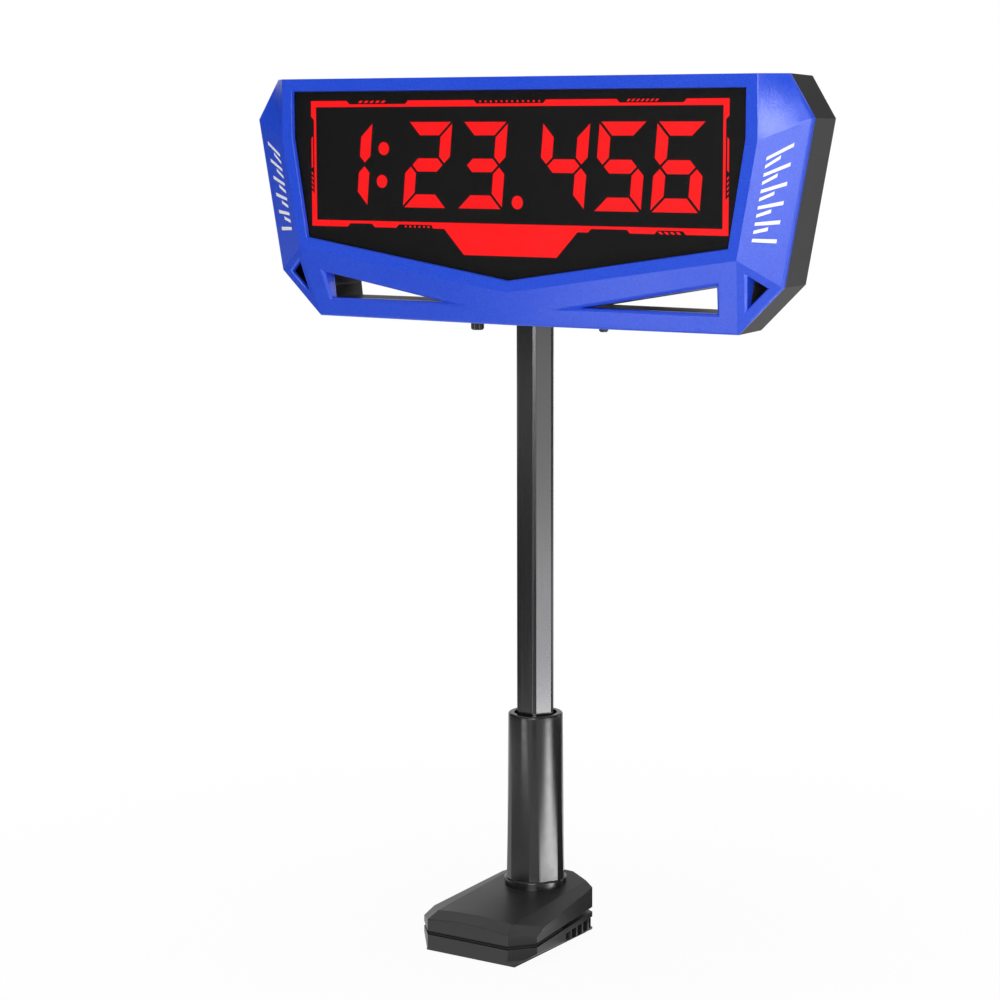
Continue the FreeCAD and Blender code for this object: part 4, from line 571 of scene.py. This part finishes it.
print_mesh = frame["nodes"]["printed_border"].data.copy()
places = np.empty(3 * len(print_mesh.vertices))
print_mesh.vertices.foreach_get("co", places)
places = places.reshape(-1, 3)
front = places[:, 1].min()
places[places[:, 1] < front + FILM, 1] += FILM
print_mesh.vertices.foreach_set("co", places.ravel())
border_print = bpy.data.objects.new("border_print", print_mesh)
bpy.context.scene.collection.objects.link(border_print)
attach(border_print, bodies["printed_border"])
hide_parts("printed_border")
print("ink thickness in mm", round(float(places[:, 1].max() - places[:, 1].min()) / MM, 3))

# %% [markdown]
# Both side facets carry a row of plain white ticks, long and short in turn, printed along the facet. Each
# facet is a four-cornered patch, so a point on it is a blend of its corners, and a tick is a small
# parallelogram in that blend.

# %% Printed ticks
HEAD_FRONT_Y, HEAD_CORNER_Z = -24.1, 382.6
FACET = {  # each corner's distance to the side, behind the head's front, and up from HEAD_CORNER_Z
    "front": (128.3, 0.0, -9.5),
    "side": (149.3, 8.8, -0.7),
    "front_low": (118.6, 0.0, -60.5),
    "side_low": (135.8, 8.9, -72.0),
}
INK_HEIGHT = 0.03
TICK_COUNT, TICK_FIRST, TICK_PITCH, TICK_WIDTH, TICK_LEAN = 11, 0.16, 0.062, 0.026, 0.05
TICK_NEAR, TICK_LONG_FAR, TICK_SHORT_FAR = 0.24, 0.74, 0.52


def facet_point(side, share, along):
    """P(s, t) = (1 - t) ((1 - s) A + s B) + t ((1 - s) C + s D): s from the ring to the rim, t downwards."""
    corners = {}
    for key, (x, depth, height) in FACET.items():
        corners[key] = np.array([side * x, HEAD_FRONT_Y + depth, HEAD_CORNER_Z + height])
    share, along = share[..., None], along[..., None]
    upper = (1 - share) * corners["front"] + share * corners["side"]
    lower = (1 - share) * corners["front_low"] + share * corners["side_low"]
    out = np.cross(corners["side"] - corners["front"], corners["front_low"] - corners["front"])
    out *= -np.sign(out[1]) / np.linalg.norm(out)
    return ((1 - along) * upper + along * lower + INK_HEIGHT * out) * MM


def ticks(side):
    """A row of leaning strokes down one side facet, as one thin printed piece.

    Tick i starts at first + pitch * i on its near end and is lifted by the lean on its far end.
    """
    index = np.arange(TICK_COUNT)
    near = np.full(TICK_COUNT, TICK_NEAR)
    far = np.where(index % 2 == 0, TICK_LONG_FAR, TICK_SHORT_FAR)
    start = TICK_FIRST + TICK_PITCH * index
    lifted = start - TICK_LEAN
    share = np.stack([near, far, far, near], axis=1)
    along = np.stack([start, lifted, lifted + TICK_WIDTH, start + TICK_WIDTH], axis=1)
    faces = np.arange(share.size).reshape(share.shape)
    if side > 0:
        faces = faces[:, ::-1]
    name = "ticks_right" if side > 0 else "ticks_left"
    mesh = bpy.data.meshes.new(name)
    mesh.from_pydata(facet_point(side, share, along).reshape(-1, 3).tolist(), [], faces.tolist())
    mesh.materials.append(looks["tick_white"])
    piece = bpy.data.objects.new(name, mesh)
    bpy.context.scene.collection.objects.link(piece)
    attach(piece, "head")
    print(name, len(mesh.polygons))


ticks(1)
ticks(-1)

# %% [markdown]
# The floor is a broad pale sheet. To the camera and in reflections it glows, and so does the room, so the two
# meet with no line between them. Near the display a small part of the glow gives way to the floor as the
# lamps light it, so it keeps a trace of the soft shadow.

# %% Floor and room
FLOOR_HALF = 6.0
CORNER_FACTORS = ((-1, -1), (1, -1), (1, 1), (-1, 1))
WHITE = (1.0, 1.0, 1.0, 1.0)
PAPER_GREY = (0.84, 0.84, 0.84, 1.0)
GLOW_NEAR, NEAR, FAR = 0.95, 0.05, 0.4
ROOM_LIGHT = 0.27

sheet = bpy.data.meshes.new("floor")
sheet.from_pydata([(x * FLOOR_HALF, y * FLOOR_HALF, 0.0) for x, y in CORNER_FACTORS], [], [(0, 1, 2, 3)])
floor = bpy.data.objects.new("floor", sheet)
bpy.context.scene.collection.objects.link(floor)


def seen_directly(network):
    """1 for the camera, for reflections and through glass, 0 for light that spreads between surfaces."""
    seen = network.node("ShaderNodeLightPath", {}, {}, "Is Camera Ray")
    rays = seen.socket.node
    for name in ("Is Glossy Ray", "Is Transmission Ray"):
        seen = seen.maths("MAXIMUM", Wire(network, rays.outputs[name]))
    return seen


paper = Finish("floor_paper")
paper.surface(Base_Color=PAPER_GREY, Roughness=0.9, Specular_IOR_Level=0.0)
distance = paper.node("ShaderNodeVectorMath", {"operation": "LENGTH"}, {0: paper.place()}, "Value")
share = paper.node("ShaderNodeMapRange", {}, {
    "Value": distance, "From Min": NEAR, "From Max": FAR, "To Min": GLOW_NEAR, "To Max": 1.0})
glow = paper.node("ShaderNodeEmission", {}, {"Color": WHITE, "Strength": 1.0})
both = paper.node("ShaderNodeMixShader", {}, {
    0: seen_directly(paper) * share, 1: Wire(paper, paper.shader.outputs[0]), 2: glow})
paper.plug(paper.output, 0, both)
sheet.materials.append(paper.material)

room = bpy.data.worlds.new("room")
room.use_nodes = True
bpy.context.scene.world = room
air = Network(room.node_tree)
backdrop = room.node_tree.nodes["Background"]
air.plug(backdrop, "Color", WHITE)
air.plug(backdrop, "Strength", air.node("ShaderNodeMapRange", {}, {
    "Value": seen_directly(air), "To Min": ROOM_LIGHT, "To Max": 1.0}))
print("floor in metres", tuple(floor.dimensions))

# %% [markdown]
# Three soft lamps light the colours. They are broad, so the shadows stay soft, and they don't show in
# reflections, where their edges would draw hard bright shapes.


# %% Lamps
def around(turn, distance, z):
    """A place round the display: the turn is in degrees from straight ahead, to the right."""
    angle = math.radians(turn)
    return (distance * math.sin(angle), -distance * math.cos(angle), z)


def softbox(name, place, aim, width, height, brightness):
    """A flat lamp whose face has a given brightness."""
    lamp = bpy.data.lights.new(name, "AREA")
    lamp.shape = "RECTANGLE"
    lamp.size = width
    lamp.size_y = height
    lamp.energy = brightness * math.pi * width * height
    holder = bpy.data.objects.new(name, lamp)
    holder.location = place
    holder.rotation_euler = (Vector(aim) - Vector(place)).to_track_quat("-Z", "Y").to_euler()
    holder.visible_glossy = False
    bpy.context.scene.collection.objects.link(holder)


# Each call gives the place, the aim, the width, the height and the brightness.
softbox("key", around(42, 3.0, 0.5), (0.0, 0.0, 0.3), 1.8, 1.8, 5.0)
softbox("low_front", around(25, 1.2, 0.06), (0.0, 0.0, 0.32), 1.0, 0.3, 3.6)
softbox("top_fill", (-0.3, -0.3, 2.2), (0.0, 0.0, 0.2), 1.6, 1.6, 2.4)
print("lamps", len(bpy.data.lights))

# %% [markdown]
# What a dark shiny surface shows is another matter: it mirrors the room. So cards stand and lie round the
# display, as in a studio: black ones that keep the front and the pole dark, and bright ones whose reflections
# draw the facets. They show in reflections alone, so they can stand in the camera's view.

# %% Cards in front
CARD_STEP = 8
cards = []


def card(name, first, second, brightness):
    """A bent card between two rows of points, seen only in reflections: 0 is black and 1 is white."""
    count = len(first)
    faces = [(step, step + 1, count + step + 1, count + step) for step in range(count - 1)]
    mesh = bpy.data.meshes.new(name)
    mesh.from_pydata(first + second, [], faces)
    finish = Finish(name)
    light = finish.node("ShaderNodeEmission", {}, {"Color": WHITE, "Strength": brightness})
    finish.plug(finish.output, 0, light)
    mesh.materials.append(finish.material)
    piece = bpy.data.objects.new(name, mesh)
    bpy.context.scene.collection.objects.link(piece)
    piece.visible_camera = False
    piece.visible_diffuse = False
    piece.visible_shadow = False
    piece.visible_transmission = False
    cards.append(piece)


def arc(left, right, distance, z):
    """Places round the display from one turn to another, in steps of about 8 degrees."""
    stops = np.linspace(left, right, 2 + int(abs(right - left) / CARD_STEP)).tolist()
    return [around(turn, distance, z) for turn in stops]


def standing_card(name, left, right, distance, low, high, brightness):
    """An upright card between two turns, at a distance from the pole, from a low to a high edge."""
    card(name, arc(left, right, distance, low), arc(left, right, distance, high), brightness)


def lying_card(name, left, right, near, distance, brightness, z=0.003):
    """A card just over the floor between two turns, from near the pole out to a distance."""
    card(name, arc(left, right, near, z), arc(left, right, distance, z), brightness)


# A standing card: its two turns, its distance, its low and high edge, its brightness.
# A lying card: its two turns, its near and far edge, its brightness, and its height where that isn't 3 mm.
standing_card("black_front_left", -112, 4, 1.9, 0.1, 1.6, 0.0)
lying_card("dark_floor_left", -112, -26, 0.45, 1.9, 0.1)
lying_card("shade_floor_left", -60, 4, 0.13, 0.3, 0.6)
lying_card("bright_floor", -27, -6, 0.39, 0.6, 5.8)
standing_card("bright_front", 6, 34, 1.9, 0.22, 0.87, 13.2)
standing_card("black_front_high", 4, 66, 1.95, 0.9, 2.4, 0.1)
standing_card("black_front_right", 38, 72, 1.9, 0.1, 1.6, 0.02)
lying_card("dark_floor_front", 16, 40, 0.45, 1.9, 0.1)
print("cards in front", len(cards))

# %% [markdown]
# The camera looks down a little, so an upright flat that faces right mirrors the floor to the right. A fan of
# narrow cards lies there, brightest near its middle, and its mirror image is the shine on the right flats of
# the pole and of the column. Dark cards close to the base keep its right side from going pale.

# %% Cards to the right
FAN_START, FAN_END, FAN_STEP = 60, 106, 4
FAN_BRIGHTEST, FAN_WIDTH = 86, 13

lying_card("bright_floor_right", 57, 66, 0.8, 1.9, 2.2)
for turn in range(FAN_START, FAN_END, FAN_STEP):
    fade = math.exp(-((turn - FAN_BRIGHTEST) / FAN_WIDTH) ** 2)
    lying_card("bright_right_near", turn, turn + FAN_STEP, 0.1, 0.45, 1 + 13.0 * fade)
    lying_card("bright_right_middle", turn, turn + FAN_STEP, 0.45, 1.2, 1 + 3.5 * fade, 0.004)
lying_card("bright_right_far", 76, 100, 1.2, 3.4, 2.0, 0.004)
lying_card("shade_floor_right", 20, 80, 0.055, 0.1, 0.3)
lying_card("bright_edge_light", 83, 96, 0.05, 0.1, 6.0)
lying_card("dark_floor_side", 58, 104, 0.029, 0.05, 0.42)
print("cards in front and to the right", len(cards))

# %% [markdown]
# A face that the camera sees at a slant mirrors what is behind the display. Dark cards there keep such faces
# from going pale, and a bright and a grey one leave some light on them.

# %% Cards behind
lying_card("dark_floor_rear", 100, 178, 0.032, 0.6, 0.1)
standing_card("black_rear", 122, 186, 2.0, 0.0, 0.22, 0.05)
lying_card("dark_floor_far_rear", 122, 186, 1.2, 2.0, 0.15)
standing_card("black_rear_high", 98, 178, 2.0, 0.25, 2.4, 0.05)
standing_card("bright_rear", 138, 153, 1.95, 0.28, 0.55, 6.0)
standing_card("grey_rear_left", 188, 240, 2.0, 0.1, 0.95, 0.74)
standing_card("dim_rear_left", 188, 245, 2.0, 0.95, 2.4, 0.35)
print("cards in all", len(cards))
